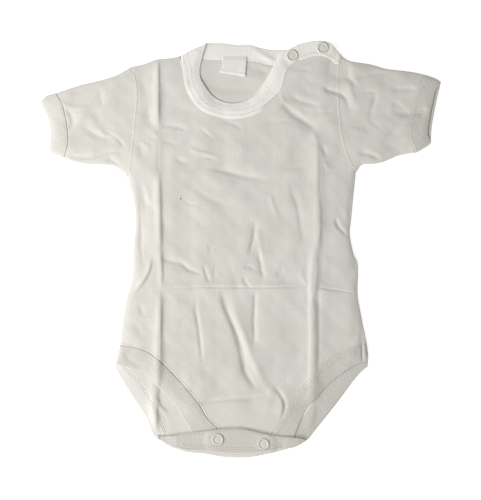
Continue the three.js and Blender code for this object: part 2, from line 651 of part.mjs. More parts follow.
// Neck and shoulder opening
const neckBackOuter = chain(neckTurn, neckBackFree, neckEndTop);
const neckBackCuts = evenCuts(neckBackSeam).slice(1); // the back band tapers away at the left shoulder
add("neck_band_front", wall(strip(neckFrontSeam, neckFrontFree, neckCuts, 4, bandZ)), rib());
add("neck_band_back", wall(strip(neckBackSeam, neckBackOuter, neckBackCuts, 2, backZ)), rib());
add("shoulder_placket_front", wall(strip(placketSeam, placketTop, placketCuts, 3, bandZ)), rib());
add("shoulder_placket_back", wall(strip(placketSeam, placketTop, placketCuts, 1, backZ)), rib());
const label = strip(line(LABEL.low), line(LABEL.high), steps(4), 3, () => LABEL_Z);
add("neck_label", wall(label, LABEL.wall), tape());

// Leg openings
const legBands = [
  ["leg_band_front_left", frontLegSeamLeft, frontLegFreeLeft, footCuts("left"), 3, bandZ],
  ["leg_band_front_right", frontLegSeamRight, frontLegFreeRight, footCuts("right"), 3, bandZ],
  ["leg_band_back_left", backLegSeamLeft, backLegLeft, evenCuts(backLegSeamLeft), 2, backZ],
  ["leg_band_back_right", backLegSeamRight, backLegRight, evenCuts(backLegSeamRight), 2, backZ],
];
for (const [name, ...cut] of legBands) add(name, wall(strip(...cut)), rib());

// Crotch: the front's own band lies under the flap.
const crotchUnderTop = chain(
  straight(frontLegFreeLeft(1), frontLegSeamLeft(1)),
  frontCrotchSeam,
  straight(frontLegSeamRight(0), frontLegFreeRight(0)),
);
add("crotch_band_front", wall(strip(crotchUnderTop, crotchUnderEnd, steps(16), 2, () => FRONT_Z)), rib());
add("crotch_band_back", crotchBand(), rib());

// Snaps, fastened
for (const { name, at, cloth, under } of SNAPS) {
  const { x, y } = place(at);
  add(`snap_ring_${name}`, snapRing(), enamel(), [x, y, cloth + CLOTH / 2 + SEAM_GAP]);
  add(`snap_stud_${name}`, snapStud(), enamel(), [x, y, under + CLOTH / 2 + SEAM_GAP]);
}

export default onesie;
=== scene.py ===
"""The looks of a baby's cream cotton bodysuit that is laid flat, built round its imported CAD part.

Lengths are millimetres until a mesh is made, and metres after that. +Z is up, +Y runs to the neck, and
left is -X. Each piece of cloth is a grid of places worked out as whole arrays, given a thickness.
"""

import bpy
import numpy as np
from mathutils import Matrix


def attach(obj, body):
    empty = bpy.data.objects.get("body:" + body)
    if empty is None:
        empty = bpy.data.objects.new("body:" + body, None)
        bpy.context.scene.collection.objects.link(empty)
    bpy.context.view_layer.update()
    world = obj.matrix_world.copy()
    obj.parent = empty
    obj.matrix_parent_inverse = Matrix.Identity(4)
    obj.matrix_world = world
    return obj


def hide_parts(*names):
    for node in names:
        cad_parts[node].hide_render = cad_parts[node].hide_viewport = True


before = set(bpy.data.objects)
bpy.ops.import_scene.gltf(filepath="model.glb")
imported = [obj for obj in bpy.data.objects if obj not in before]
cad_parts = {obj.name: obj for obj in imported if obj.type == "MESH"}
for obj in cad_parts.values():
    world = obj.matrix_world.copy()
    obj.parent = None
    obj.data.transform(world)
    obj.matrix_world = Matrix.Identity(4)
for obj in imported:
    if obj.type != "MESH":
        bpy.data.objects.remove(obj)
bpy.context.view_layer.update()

MM = 0.001
CLOTH = 1.2
SEAM_GAP = 0.3
BAND_STEP = 0.3
BACK_Z = CLOTH / 2
FRONT_Z = BACK_Z + CLOTH + SEAM_GAP
STUD_HEIGHT = 0.8
SHOULDER_Z = FRONT_Z + STUD_HEIGHT + SEAM_GAP
FLAP_Z = FRONT_Z + BAND_STEP + CLOTH + SEAM_GAP
FLAP_SNAP_Z = FRONT_Z + CLOTH + STUD_HEIGHT + 2 * SEAM_GAP
HIGHEST_RISE, EASE_TOP, EASE_FOOT = 4.0, 0.9, 0.35
LOFT, LOFT_REACH = 1.9, 6.0
FREE_EDGE = 5.0
FOLD_START = 5.0
PRESSED_BELOW, PRESSED_ABOVE = -163.0, -138.0
SEAT_FLAT, SEAT_REACH = 8.0, 14.0
SIDE_DIP, SIDE_DIP_REACH = 0.35, 1.8  # a sewn side comes down to the layer under it
CUFF_GAPE = 3.2

# Lines
EDGE_PLACES = 361


def evened(places, count=EDGE_PLACES):
    """The same line with its places evenly spaced along its length."""
    along = np.r_[0, np.cumsum(np.hypot(*np.diff(places, axis=0).T))]
    even = np.linspace(0, along[-1], count)
    return np.stack([np.interp(even, along, places[:, k]) for k in (0, 1)], -1)


def line(*points):
    """A smooth line through a few points. From each point to the next it is the cubic that leaves both
    along half the step between that point's neighbours; an end point is its own neighbour."""
    p = np.array(points, float)
    slope = (np.vstack([p[1:], p[-1:]]) - np.vstack([p[:1], p[:-1]])) / 2
    t = np.linspace(0, len(p) - 1, 60 * (len(p) - 1) + 1)
    i = np.minimum(t.astype(int), len(p) - 2)
    s = (t - i)[:, None]
    a, b, leave, reach = p[i], p[i + 1], slope[i], slope[i + 1]
    cubic = (2 * a - 2 * b + leave + reach) * s**3 + (3 * b - 3 * a - 2 * leave - reach) * s**2
    return evened(cubic + leave * s + a)


def straight(start, end):
    """Places evenly spaced from one point to another."""
    return np.linspace(np.array(start, float), np.array(end, float), EDGE_PLACES)


def at(edge, t):
    """The places at shares t of an edge, from 0 at its start to 1 at its end."""
    place = np.clip(t, 0, 1) * (len(edge) - 1)
    return np.stack([np.interp(place, np.arange(len(edge)), edge[:, k]) for k in (0, 1)], -1)


def part(edge, start, end):
    """The stretch of an edge between two shares of it."""
    return at(edge, np.linspace(start, end, EDGE_PLACES))


def chain(*edges):
    """Edges laid end to end as one."""
    return evened(np.vstack(edges))


def share_at(edge, axis, value):
    """The share of an edge at which one coordinate reaches a value; it changes one way along the edge."""
    values, shares = edge[:, axis], np.linspace(0, 1, len(edge))
    if values[0] > values[-1]:
        values, shares = values[::-1], shares[::-1]
    return np.interp(value, values, shares)


def length_of(edge):
    return float(np.hypot(*np.diff(edge, axis=0).T).sum())


# The outline as it lies, clockwise from the left shoulder, as the part's source has it
shoulder_left = line((-99.5, 164), (-88.9, 166), (-75.4, 170.8), (-61.9, 172.1), (-53.7, 174.3))
neck_turn = line((-53.7, 174.3), (-45.5, 178.8), (-30.4, 185.6))
neck_back_free = line(
    (-30.4, 185.6), (-16.9, 185.6), (-2, 183.8), (7, 184.3), (17.6, 181.4), (28, 179.6), (41.9, 179.6))
neck_end_top = line((41.9, 179.6), (46.5, 181.6), (52, 184.2))
placket_top = line((52, 184.2), (59.6, 186.3), (71.5, 187.6), (80.5, 185.6), (86.6, 179.6), (90, 175.5))
sleeve_top_right = line(
    (90, 175.5), (95.6, 171.3), (101.5, 169), (116.6, 166.8), (131.6, 162.7), (154, 160), (166.3, 157.2))
cuff_top_right = line((166.3, 157.2), (175, 154), (180.3, 150.8))
mouth_right = line((180.3, 150.8), (176.6, 134.6), (173.5, 119.5), (171.7, 107.6), (171.3, 95.6))
cuff_under_right = line((157.7, 86.6), (167.6, 92.5), (171.3, 95.6))
sleeve_under_right = line(
    (103.6, 68), (107.6, 74.5), (111.3, 76.3), (118, 76.3), (128.5, 78.3), (143.6, 84.3), (157.7, 86.6))
side_right = line(
    (103.6, 68), (101.5, 47.5), (99.3, 25), (98.3, 14), (101.5, -3.4), (105.6, -14), (105.3, -39.4),
    (107.6, -54.5), (113.6, -84.4))
hip_right = line((113.6, -84.4), (115.5, -99.5), (114.3, -105.5))
back_leg_right = line(
    (114.3, -105.5), (104.6, -114.5), (86.6, -138.4), (68.6, -160.9), (60, -171.4), (50, -176.4), (44, -178.8))
crotch_fold = line(
    (44, -178.8), (29, -182.8), (12.5, -186.2), (-3.3, -187.3), (-18, -186.4), (-32.6, -183.9),
    (-48.2, -182.5), (-61, -178.4))
back_leg_left = line(
    (-61, -178.4), (-70, -173.7), (-79, -166.5), (-85, -151.5), (-99.5, -129.4), (-109.2, -113), (-113, -106.7))
hip_left = line((-113, -106.7), (-111.4, -99.5), (-108.5, -86))
side_left = line(
    (-108.5, -86), (-106.2, -66.4), (-103.2, -47), (-97.9, -27.5), (-96.5, -5), (-95, 17.6), (-95, 37.4),
    (-101.3, 64.4))
sleeve_under_left = line((-101.3, 64.4), (-108.5, 70.7), (-117.5, 75.2), (-144.5, 77), (-158.7, 82.1))
cuff_under_left = line((-158.7, 82.1), (-169, 86.2), (-172.2, 88.8))
mouth_left = line((-180.2, 132.4), (-173, 116.6), (-171.2, 101.5), (-172.2, 88.8))
cuff_top_left = line((-166, 140.9), (-176, 137.6), (-180.2, 132.4))
sleeve_top_left = line((-99.5, 164), (-110, 157.8), (-124.9, 152.6), (-144.5, 148), (-166, 140.9))
OUTLINE = [
    shoulder_left, neck_turn, neck_back_free, neck_end_top, placket_top, sleeve_top_right, cuff_top_right,
    mouth_right, cuff_under_right, sleeve_under_right, side_right, hip_right, back_leg_right, crotch_fold,
    back_leg_left, hip_left, side_left, sleeve_under_left, cuff_under_left, mouth_left, cuff_top_left,
    sleeve_top_left]

# Seams and open edges inside the outline
armhole_left = line((-101.3, 64.4), (-97.9, 86.6), (-95.2, 113.6), (-93.2, 138), (-95, 154), (-99.5, 164))
armhole_right = line((103.6, 68), (93.3, 92.5), (89, 119), (87.6, 146.5), (88, 165.6))
placket_end = line((88, 165.6), (90, 175.5))
neck_front_seam = line(
    (-53.7, 174.3), (-50, 161.5), (-49, 152.5), (-45.5, 141), (-38.3, 130.5), (-29.3, 124.2), (-17.5, 120.6),
    (-5.9, 119.3), (5.9, 121), (17.5, 126), (32.3, 138.7), (37.4, 145.4), (41.6, 160.4), (45.2, 165.1),
    (52.2, 170.1))
neck_front_free = line(
    (-30.4, 185.6), (-33.5, 175), (-36.5, 161.5), (-34.2, 151), (-23, 136.8), (-6.5, 131.6), (10, 136.8),
    (20.3, 149), (29.7, 165.2), (36.5, 176.9), (41.9, 179.6), (52, 184.2))
placket_seam = line((52.2, 170.1), (56.5, 172.4), (65.5, 175), (74.5, 175), (82, 171.5), (88, 165.6))
neck_back_seam = line(
    (-53.7, 174.3), (-30.6, 170.5), (-9.5, 169.5), (7.7, 168.6), (24.8, 165.5), (40, 165.3), (52.2, 170.1))
cuff_seam_left = line((-166, 140.9), (-159.5, 128.5), (-155.4, 107), (-155.3, 94), (-158.7, 82.1))
cuff_seam_right = line((166.3, 157.2), (158.5, 141.5), (153.2, 119), (151.9, 102), (157.7, 86.6))
leg_seam_left = line(
    (-108.5, -86), (-96.5, -87.8), (-86, -90.7), (-74, -98.7), (-54.5, -118.2), (-37.2, -139.2),
    (-30.4, -150.5), (-17, -163.8))
leg_free_left = line(
    (-112, -102.5), (-96.5, -107.7), (-86, -111.4), (-77, -120.4), (-59, -140), (-51.5, -151.9), (-43, -166.3))
leg_seam_right = line(
    (27, -168.6), (36.5, -153.5), (48.6, -135), (57.6, -122.5), (66, -112.6), (76, -102.4), (91, -93),
    (113.6, -84.4))
leg_free_right = line(
    (47.5, -170.8), (53.6, -155), (59.6, -142.9), (67, -133.9), (82, -119), (101.5, -104.7), (114.9, -100.5))
crotch_seam = line((-17, -163.8), (0, -163), (11.5, -165), (27, -168.6))
crotch_under_end = line((-40, -176), (-20, -180), (0, -182), (20, -180.5), (41, -176))
back_seam_left = line(
    (-61.5, -174.5), (-65, -166.2), (-75.4, -141.5), (-90.5, -117.5), (-104, -104), (-110.2, -94))
back_seam_right = line(
    (115, -94), (102, -98.5), (87, -109.5), (75.5, -122.5), (54, -152.5), (49.6, -163.5), (45.2, -174.8))
flap_edge = line(
    (54, -169.4), (38.5, -168), (23.6, -165.8), (11.5, -162.9), (2.5, -160.9), (-9.5, -160.7),
    (-42.5, -164.3), (-59, -167.2), (-75.4, -167.2))
FLAP_TIP_RIGHT, FLAP_TIP_LEFT = (59.5, -170.8), (-74.5, -169)
SNAPS = {
    "shoulder_inner": ((46.4, 174.2), SHOULDER_Z),
    "shoulder_outer": ((73.8, 181.2), SHOULDER_Z),
    "crotch_left": ((-20.4, -170.7), FLAP_SNAP_Z),
    "crotch_right": ((20.5, -174.8), FLAP_SNAP_Z),
}
shoulder_snaps = np.array([SNAPS["shoulder_inner"][0], SNAPS["shoulder_outer"][0]], float)
crotch_snaps = np.array([SNAPS["crotch_left"][0], SNAPS["crotch_right"][0]], float)

# Creases
# The largest folds, which the solids have too, some of them a few millimetres aside: from, by way of, to,
# height, width on the left and right of the run
MAIN_FOLDS = [
    ((-74, 172), (-74, 68), (-72.6, -34), 1.5, 3, 7.5),
    ((-72.6, -34), (-74, -90), (-77, -150), 1.4, 3.5, 7.5),
    ((69, 112), (69.4, 40), (66, -36), 1.6, 5, 9),
    ((66, -36), (66.3, -80), (65, -146), 1.6, 5.5, 7),
    ((-72, -34.5), (8, -32.5), (104, -39), 1.1, 4, 6),
    ((-18, -33), (-6, -64), (8, -119), -1.4, 6, 4),
    ((-8, -40), (9, -92), (32, -136), 0.9, 5, 5),
    ((12.5, -36), (12.5, -66), (11.5, -90), -0.9, 5, 5),
    ((-37, -141), (-10, -135), (20, -131), 0.4, 9, 9),
    ((24, -126), (39, -132), (36.5, -153), 1.2, 5, 6),
    ((-72, -4), (-58, -14), (-33, -21), -0.8, 5, 4),
    ((12, 27), (13, 5), (19, -27), -0.9, 5, 5),
    ((-62, 85), (-47, 75), (-20, 83), -0.8, 6, 5),
    ((-28, 75), (4, 66), (34, 50), -1.1, 8, 6),
    ((35, 133), (52, 118), (70, 107), -1.2, 6, 5),
    ((73, 147), (93, 140), (102, 121), -1.1, 6, 5),
    ((-93, 158), (-86, 146), (-81, 116), -0.9, 6, 5),
    ((-94, 66), (-87, 44), (-89, 0), -0.9, 4, 4),
    ((-144, 113), (-124, 100), (-101, 90), -1, 7, 6),
    ((134, 127), (150, 126), (168, 124), -0.9, 6, 6),
]

# Finer creases, placed on the photograph at 0.9 mm to a pixel. Each has its points in pixels, its
# height and its width on the left and on the right of its run, in millimetres.
PIXEL = 0.9
MIDDLE_X, MIDDLE_Y = 240.5, 249.5
CREASES = {
    "left packing crease, top": ([(158.3, 52), (158, 90), (158.3, 130)], 0.9, 1.3, 3.5),
    "left packing crease, chest": ([(159, 120), (158.5, 150), (159, 184)], -0.3, 2, 2),
    "left packing crease, side": ([(158.3, 168), (159, 200), (160, 232), (160, 259)], 0.85, 1.9, 3.5),
    "left packing crease, waist": ([(160, 248), (161.5, 270), (161.5, 290)], 0.6, 1.4, 3),
    "left packing crease, hip": ([(160.3, 284), (160, 320), (159, 350), (157, 390)], 1, 1.9, 3.6),
    "left packing crease, band": ([(160, 338), (160, 362), (158, 394)], 0.7, 3.2, 3),
    "right packing crease, top": ([(317, 128), (317, 170), (317, 206)], 0.4, 1.6, 3),
    "right packing crease, side": ([(317, 192), (318.5, 222), (317.5, 254)], 0.8, 2.2, 3),
    "right packing crease, waist": ([(316, 240), (314, 262), (313.5, 300)], 0.75, 4, 3),
    "right packing crease, hip": ([(311.4, 246), (311.8, 308), (312.2, 352), (309.8, 408)], 1.25, 4, 2.4),
    "right packing crease, foot": ([(317.4, 272), (317.8, 320), (317.8, 352), (316, 384)], -0.65, 2.6, 8),
    "right packing crease, bump": ([(312, 132), (314, 137), (316, 143)], 0.45, 3, 3),
    "waist crease": ([(161, 287), (178, 288.5), (200, 287), (260, 287.5), (317, 286.5)], -0.5, 1.2, 0.9),
    "waist crease, right": ([(311, 286.5), (335, 290), (357.5, 293.3)], -0.4, 1.2, 1),
    "chest line, top": ([(159, 126), (176, 127.3), (190, 130.5)], -0.7, 3, 1.1),
    "chest line, end": ([(199, 127.5), (206, 133.5), (214, 140.5)], -0.4, 1.6, 1.8),
    "chest shade": ([(168, 108), (185, 110), (200, 116)], -0.35, 4, 3.5),
    "chest spot, left": ([(148, 137), (152, 137.6), (158, 139)], -0.45, 1.2, 1.2),
    "chest nick": ([(162, 143), (169, 142.5), (176, 145)], -0.45, 1.4, 1.2),
    "chest bow": ([(170.5, 154), (177, 159.5), (185, 163), (196, 160), (207, 157.5), (220, 161)], -0.6, 2.4, 1.3),
    "chest bow ridge": ([(188, 146), (194, 151), (206, 153.5), (220, 158)], 0.5, 1.5, 2),
    "breast line": ([(203, 166.5), (216, 170), (230, 173), (245, 177), (262, 179.5), (275, 187)], -0.6, 3, 1.7),
    "breast shade": ([(208, 180), (222, 184), (236, 186)], 0.3, 4, 4),
    "breast slant": ([(192, 185.5), (203, 195), (214, 200.5), (230, 206)], -0.32, 3, 2.4),
    "stain crease": ([(181, 198), (190, 204), (200, 205)], -0.25, 1.6, 1.4),
    "under the neckband": ([(222, 122), (233, 124), (244, 131)], -0.45, 2.2, 1.8),
    "left shoulder hollow": ([(146, 107), (149.5, 118), (150.5, 130)], -0.55, 3.4, 5),
    "left chest hollow": ([(137, 143), (141, 149), (143, 159)], -0.45, 3, 3.6),
    "left chest light": ([(139, 141), (146, 145), (152, 152)], 0.3, 1.4, 1.6),
    "left side trough": ([(140, 192), (141, 228), (141.5, 250), (144, 272)], -0.4, 1.6, 1.8),
    "left side light": ([(144, 184), (148, 194), (150, 208)], 0.3, 2, 2),
    "left waist tuck": ([(152, 254), (149, 270), (142, 283), (131, 296)], 0.85, 1.1, 2.6),
    "left hip hollow": ([(139, 303), (142, 310), (143, 318)], -0.5, 2.4, 2.6),
    "left hip hollow, low": ([(134, 322), (139, 330), (141, 340)], -0.3, 3, 3),
    "waist left, slant": ([(160, 253.5), (164, 259.5), (172, 262), (181, 263.5), (190, 270.5), (206, 275)],
                          -0.85, 2.2, 1.1),
    "waist left, hook": ([(203.5, 264), (206, 273), (210, 284)], -0.6, 1.5, 1.5),
    "waist left, nick": ([(214, 266), (214.5, 273), (214, 281)], -0.3, 1.5, 1.5),
    "belly nick": ([(210, 243), (210.3, 250), (210, 257)], -0.3, 1.8, 1.8),
    "middle fold": ([(254.5, 219), (253.5, 236), (248, 258)], -0.65, 2.2, 1.4),
    "middle fold, low": ([(257.5, 249), (260.5, 264), (264, 282)], -0.65, 2, 1.4),
    "middle fold light": ([(257.5, 226), (260, 244), (265, 266)], 0.35, 2, 1.8),
    "middle bow": ([(243, 269), (249, 266.5), (255, 271)], -0.5, 1.5, 1.5),
    "middle hook": ([(246, 275), (245, 281.7), (251, 288)], -0.5, 1.6, 1.6),
    "right chest fold": ([(286, 178), (293, 195), (298.5, 212), (303, 246)], -0.5, 3.5, 1.8),
    "right chest ridge": ([(269, 190), (274, 208), (280, 220)], 0.45, 1.6, 2.2),
    "right waist hollow": ([(276, 277), (280, 272), (285, 268)], -0.45, 2.5, 2.5),
    "right waist bump": ([(299, 268), (303, 278), (308, 287)], 0.4, 2, 2.4),
    "right breast line": ([(279, 168.5), (293, 168.5), (308, 166)], -0.4, 2.6, 1.7),
    "collar line": ([(262, 123.5), (280, 121.5), (295, 124)], -0.35, 2, 2),
    "belly line, left": ([(197, 293), (195.5, 309), (197.5, 320), (200.5, 342), (203, 370)], -0.65, 2, 1.7),
    "belly branch": ([(192, 313), (185, 319), (178, 326)], -0.25, 1.6, 1.6),
    "long fold": ([(220.5, 282), (223.5, 303), (230.5, 320), (238, 338), (242, 355), (245, 373), (257, 391)],
                  -1.1, 3.2, 1.8),
    "long fold light": ([(228, 292), (236, 316), (245, 338), (250, 353), (257, 369), (269, 391), (277, 404)],
                        0.45, 2.6, 3),
    "short fold": ([(255, 286), (254.7, 304), (253.8, 322), (254.5, 336), (252.5, 349)], -0.75, 2, 1.5),
    "seat line": ([(190, 408), (209, 402), (230, 399.5), (250, 398), (268, 393.5)], -1.25, 2.6, 1.4),
    "seat hook": ([(270, 385), (278, 391.5), (283.5, 400), (284, 410), (279, 424)], -1, 2.4, 1.3),
    "crotch bow": ([(212, 420), (232, 420), (248, 422.5), (266, 431)], 1, 1.2, 2.2),
    "seat hollow": ([(246, 372), (251, 381), (257, 390)], -0.5, 2, 2.4),
    "right collar fold": ([(281, 101), (288, 110), (299, 118.5), (310, 125.5), (320, 131)], -0.7, 2.6, 1.8),
    "right collar light": ([(282, 86), (281.5, 97), (288, 104.5), (300, 112.5), (314, 121)], 0.5, 2, 2),
    "right collar shade": ([(287, 93), (297, 100), (309, 103.5), (322, 107)], -0.9, 2.2, 1.9),
    "right shoulder nick": ([(312, 111), (321, 113), (334, 110.5)], -0.5, 2, 2),
    "right shoulder fold": ([(319, 87), (330, 91), (341, 94.5), (347, 101)], -0.9, 2.2, 1.7),
    "right shoulder line": ([(303, 80), (314, 82), (326, 80)], -0.3, 3, 3),
    "placket shade": ([(290, 67), (300, 69.5), (313, 70.5)], -0.45, 2, 1.4),
    "placket end fold": ([(334.5, 34), (341, 56), (349, 88)], -1.9, 4.6, 17),
    "right sleeve leaf": ([(345, 80), (350.5, 90), (355.5, 106)], 0.45, 1.8, 3.2),
    "right sleeve leaf, top": ([(341, 78), (350, 79.5), (357, 89)], -0.55, 2.2, 1.3),
    "right sleeve leaf, under": ([(341, 92), (346, 99), (350, 112)], -0.45, 2, 2.6),
    "right sleeve head": ([(350, 81), (361, 76.5), (374, 74), (394, 73)], -0.5, 1.8, 2.6),
    "right sleeve dash": ([(362, 93), (370, 92), (377, 91.5)], -0.45, 1.3, 1.3),
    "right sleeve tick": ([(375, 90), (374, 101), (371, 111), (368, 121)], -0.42, 2.6, 2),
    "right sleeve wedge": ([(367, 118.5), (374, 124), (383, 130.5)], -0.3, 2.2, 1.8),
    "right sleeve bow": ([(372, 106), (384, 104), (392, 102), (400, 106), (410, 115)], -0.28, 1.6, 2.4),
    "right sleeve line": ([(388, 88.5), (402, 89.5), (420, 89)], -0.7, 2.6, 2.6),
    "right sleeve line, low": ([(390, 112), (405, 114), (418, 112), (433, 111)], -0.95, 3.2, 3),
    "right sleeve slant": ([(385, 138), (396, 129), (407, 119)], -0.4, 2, 1.8),
    "right sleeve light": ([(346, 129), (357, 131), (369, 133)], 0.35, 2.5, 2.5),
    "right underarm": ([(356, 153.5), (366, 153.5), (373, 155.5), (382, 161)], -0.9, 2, 2),
    "right underarm, outer": ([(383, 148.5), (394, 145.5), (408, 139.5)], -0.55, 1.7, 1.8),
    "right underarm fold": ([(321.7, 145), (324, 151), (326.7, 156.7)], -0.45, 2, 2),
    "right underarm bump": ([(323, 161), (327, 166), (331.7, 171.7)], 0.4, 2.2, 2.2),
    "right side fold": ([(336, 216), (338, 226), (349, 237)], -1, 1.6, 1.6),
    "right side roll": ([(352.5, 181.7), (351.7, 193.3), (349.2, 213.3), (346.7, 231.7)], -0.4, 1.4, 1.4),
    "left sleeve ridge": ([(57, 95), (64, 104.5), (76, 108), (94, 107)], 0.32, 2, 2.4),
    "left sleeve hollow": ([(66, 107), (71, 115), (73, 122), (70, 130)], -0.5, 2.4, 2.2),
    "left sleeve lift": ([(69, 138), (75, 129), (81, 121), (84, 112)], 0.28, 2.2, 2.4),
    "left sleeve fold": ([(84, 127), (94, 133.5), (104, 137.5), (118, 141)], -0.55, 3, 3),
    "left sleeve line": ([(96, 128), (110, 134), (119, 140.5), (128, 152)], -0.4, 1.5, 1.4),
    "left sleeve bow": ([(64, 154), (75, 157.3), (86, 158.2), (97, 156.4), (107, 153), (126, 151)], -0.85, 2.4, 1.2),
    "left sleeve head": ([(102, 86), (101, 97), (104, 108)], -0.35, 2.6, 2.6),
    "left sleeve shade": ([(84, 108), (95, 113), (104, 124)], -0.3, 4, 4),
    "right hip side seam": ([(361.3, 318), (361.6, 340), (362.2, 366)], -0.9, 0.9, 0.9),
    "right hip side ridge": ([(363.6, 326), (364.6, 345), (365.4, 364)], 0.5, 1, 1.1),
    "left leg band bruise": ([(124, 354), (130, 359.5), (138, 364), (146, 366)], -0.8, 1.8, 2.4),
    "left underarm": ([(106, 157), (112, 160), (121, 166)], -0.55, 1.8, 1.8),
}
# Soft creases of the back, where it shows in the neck and leg openings and on the side that lies down
BACK_CREASES = {
    "fold beside the label": ([(246, 42), (257, 51), (267, 57.5), (281, 64.5)], 1.1, 1.7, 2),
    "shade under it": ([(244, 60), (256, 60), (270, 63)], -0.5, 1.8, 1.6),
    "shade by the label": ([(244, 67), (256, 68.5), (272, 75)], -0.7, 2.2, 1.8),
    "soft band": ([(242, 78), (256, 79), (268, 82)], 0.5, 3.5, 3.5),
    "shade over the neckband": ([(206, 88), (230, 89), (262, 90)], -0.5, 3.5, 3),
    "left packing crease": ([(158, 62), (158, 180), (160, 288), (157, 400)], 0.5, 3, 5),
    "right packing crease": ([(317, 62), (317, 180), (314, 288), (314, 400)], 0.5, 3, 5),
    "left packing crease, leg": ([(158, 362), (156.8, 390), (156, 414), (157.5, 440)], 2.3, 1.3, 6),
    "left leg tuck": ([(155, 392), (159.5, 405), (169, 414)], 1.1, 1.1, 3.2),
    "left leg hollow": ([(161, 410), (164, 422), (168, 434)], -0.7, 2.5, 2.5),
    "right leg fold": ([(315, 400), (312.5, 416), (309, 436)], 0.8, 2.4, 6),
    "waist crease": ([(140, 288), (240, 288), (345, 290)], 0.45, 3, 4),
    "seat slant": ([(205, 330), (235, 365), (255, 415)], 0.4, 4, 5),
    "chest slant": ([(190, 150), (225, 175), (285, 190)], 0.4, 5, 4),
}


def from_pixels(points):
    return [((x - MIDDLE_X) * PIXEL, (MIDDLE_Y - y) * PIXEL) for x, y in points]


def smooth(low, high, value):
    """0 below low, 1 above high, and 3s^2 - 2s^3 of the share s between them."""
    s = np.clip((value - low) / (high - low), 0, 1)
    return s * s * (3 - 2 * s)


def nearest(x, y, row):
    """How far each place is from a row of points, its share of the row, and whether it lies on the left."""
    best = np.full(x.shape, np.inf)
    share = np.zeros(x.shape)
    on_left = np.zeros(x.shape, bool)
    for i, (a, b) in enumerate(zip(row[:-1], row[1:])):
        dx, dy = b - a
        t = np.clip(((x - a[0]) * dx + (y - a[1]) * dy) / (dx * dx + dy * dy), 0, 1)
        distance = np.hypot(x - a[0] - t * dx, y - a[1] - t * dy)
        closer = distance < best
        best = np.where(closer, distance, best)
        share = np.where(closer, (i + t) / (len(row) - 1), share)
        on_left = np.where(closer, dx * (y - a[1]) > dy * (x - a[0]), on_left)
    return best, share, on_left


def thinned(edge, count):
    return at(edge, np.linspace(0, 1, count + 1))


outline_rows = [thinned(edge, 12) for edge in OUTLINE]
free_rows = [thinned(edge, 20) for edge in (neck_front_free, leg_free_left, leg_free_right)]
right_mouth_row = thinned(mouth_right, 12)
RIGHT_CUFF_START = 140.0
main_rows = [(thinned(line(*fold[:3]), 10), *fold[3:]) for fold in MAIN_FOLDS]
fine_rows = [(thinned(line(*from_pixels(p)), 14), *rest) for p, *rest in CREASES.values()]
back_rows = [(thinned(line(*from_pixels(p)), 14), *rest) for p, *rest in BACK_CREASES.values()]
MAIN_FADE, FINE_FADE = 0.16, 0.32
MAIN_SHARE = 0.62  # the finer creases carry the rest of a main fold's height


def relief(x, y, rows, fade):
    """The sum over creases of height x how far it has faded in from its ends x exp(-(distance / width)^2),
    with its own width on each side of its run."""
    total = np.zeros(x.shape)
    for row, height, left, right in rows:
        reach = 3 * max(left, right)
        low, high = row.min(0) - reach, row.max(0) + reach
        near = (x > low[0]) & (x < high[0]) & (y > low[1]) & (y < high[1])
        if not near.any():
            continue
        distance, share, on_left = nearest(x[near], y[near], row)
        ends = smooth(0, fade, share) * smooth(0, fade, 1 - share)
        total[near] += height * ends * np.exp(-((distance / np.where(on_left, left, right)) ** 2))
    return total


def distance_to(x, y, rows):
    return np.min([nearest(x, y, row)[0] for row in rows], axis=0)


RIPPLE_SEED, RIPPLES = 7, 26
ripple_draw = np.random.default_rng(RIPPLE_SEED)
ripple_turn = ripple_draw.uniform(0, np.pi, RIPPLES)
ripple_length = ripple_draw.uniform(10, 42, RIPPLES)
ripple_phase = ripple_draw.uniform(0, 2 * np.pi, RIPPLES)


def ripple(x, y):
    """Soft unevenness from -1 to 1: the mean of sine waves in many directions, each as high as it is long."""
    total = np.zeros(x.shape)
    for turn_by, length, phase in zip(ripple_turn, ripple_length, ripple_phase):
        across = x * np.cos(turn_by) + y * np.sin(turn_by)
        total += length * np.sin(2 * np.pi * across / length + phase)
    return total / ripple_length.sum() * 2.5


CRINKLE_SEED, CRINKLES = 11, 230
CHEST_LEAN, HIP_LEAN = np.radians(-18), np.radians(98)


def crinkles():
    """Short soft creases strewn by a seeded draw, each a shallow arc: most lie nearly level on the chest and
    stand nearly upright below the waist."""
    draw = np.random.default_rng(CRINKLE_SEED)
    rows = []
    for _ in range(CRINKLES):
        middle = np.array([draw.uniform(-165, 165), draw.uniform(-165, 178)])
        lean = (CHEST_LEAN if middle[1] > draw.normal(-5, 30) else HIP_LEAN) + draw.normal(0, 0.45)
        ahead = np.array([np.cos(lean), np.sin(lean)]) * draw.uniform(6, 20)
        bow = np.array([-ahead[1], ahead[0]]) * draw.normal(0, 0.22)
        row = thinned(line(middle - ahead, middle + bow, middle + ahead), 8)
        rows.append((row, draw.normal(0, CRINKLE_HEIGHT), draw.uniform(2, 5), draw.uniform(2, 5)))
    return rows


CRINKLE_HEIGHT = 0.15
crinkle_rows = crinkles()


def level_round(x, y, snaps):
    return 1 - smooth(SEAT_FLAT, SEAT_REACH, nearest(x, y, snaps)[0])


RIPPLE_HEIGHT = 0.65
FINE_SHARE = 1.3  # how far the finer creases are deepened
EDGE_DIP, EDGE_DIP_REACH = 0.95, 4.5  # an open edge comes down to the layer under it
RIGHT_MOUTH_SLOPE = 0.18  # the right cuff slopes down to its mouth


def eased(rise):
    """The rise held between 0 and its limit: what goes past a bend near either is shrunk as ease x tanh."""
    bend = HIGHEST_RISE - EASE_TOP
    rise = np.where(rise > bend, bend + EASE_TOP * np.tanh((rise - bend) / EASE_TOP), rise)
    return np.where(rise < EASE_FOOT, EASE_FOOT + EASE_FOOT * np.tanh((rise - EASE_FOOT) / EASE_FOOT), rise)


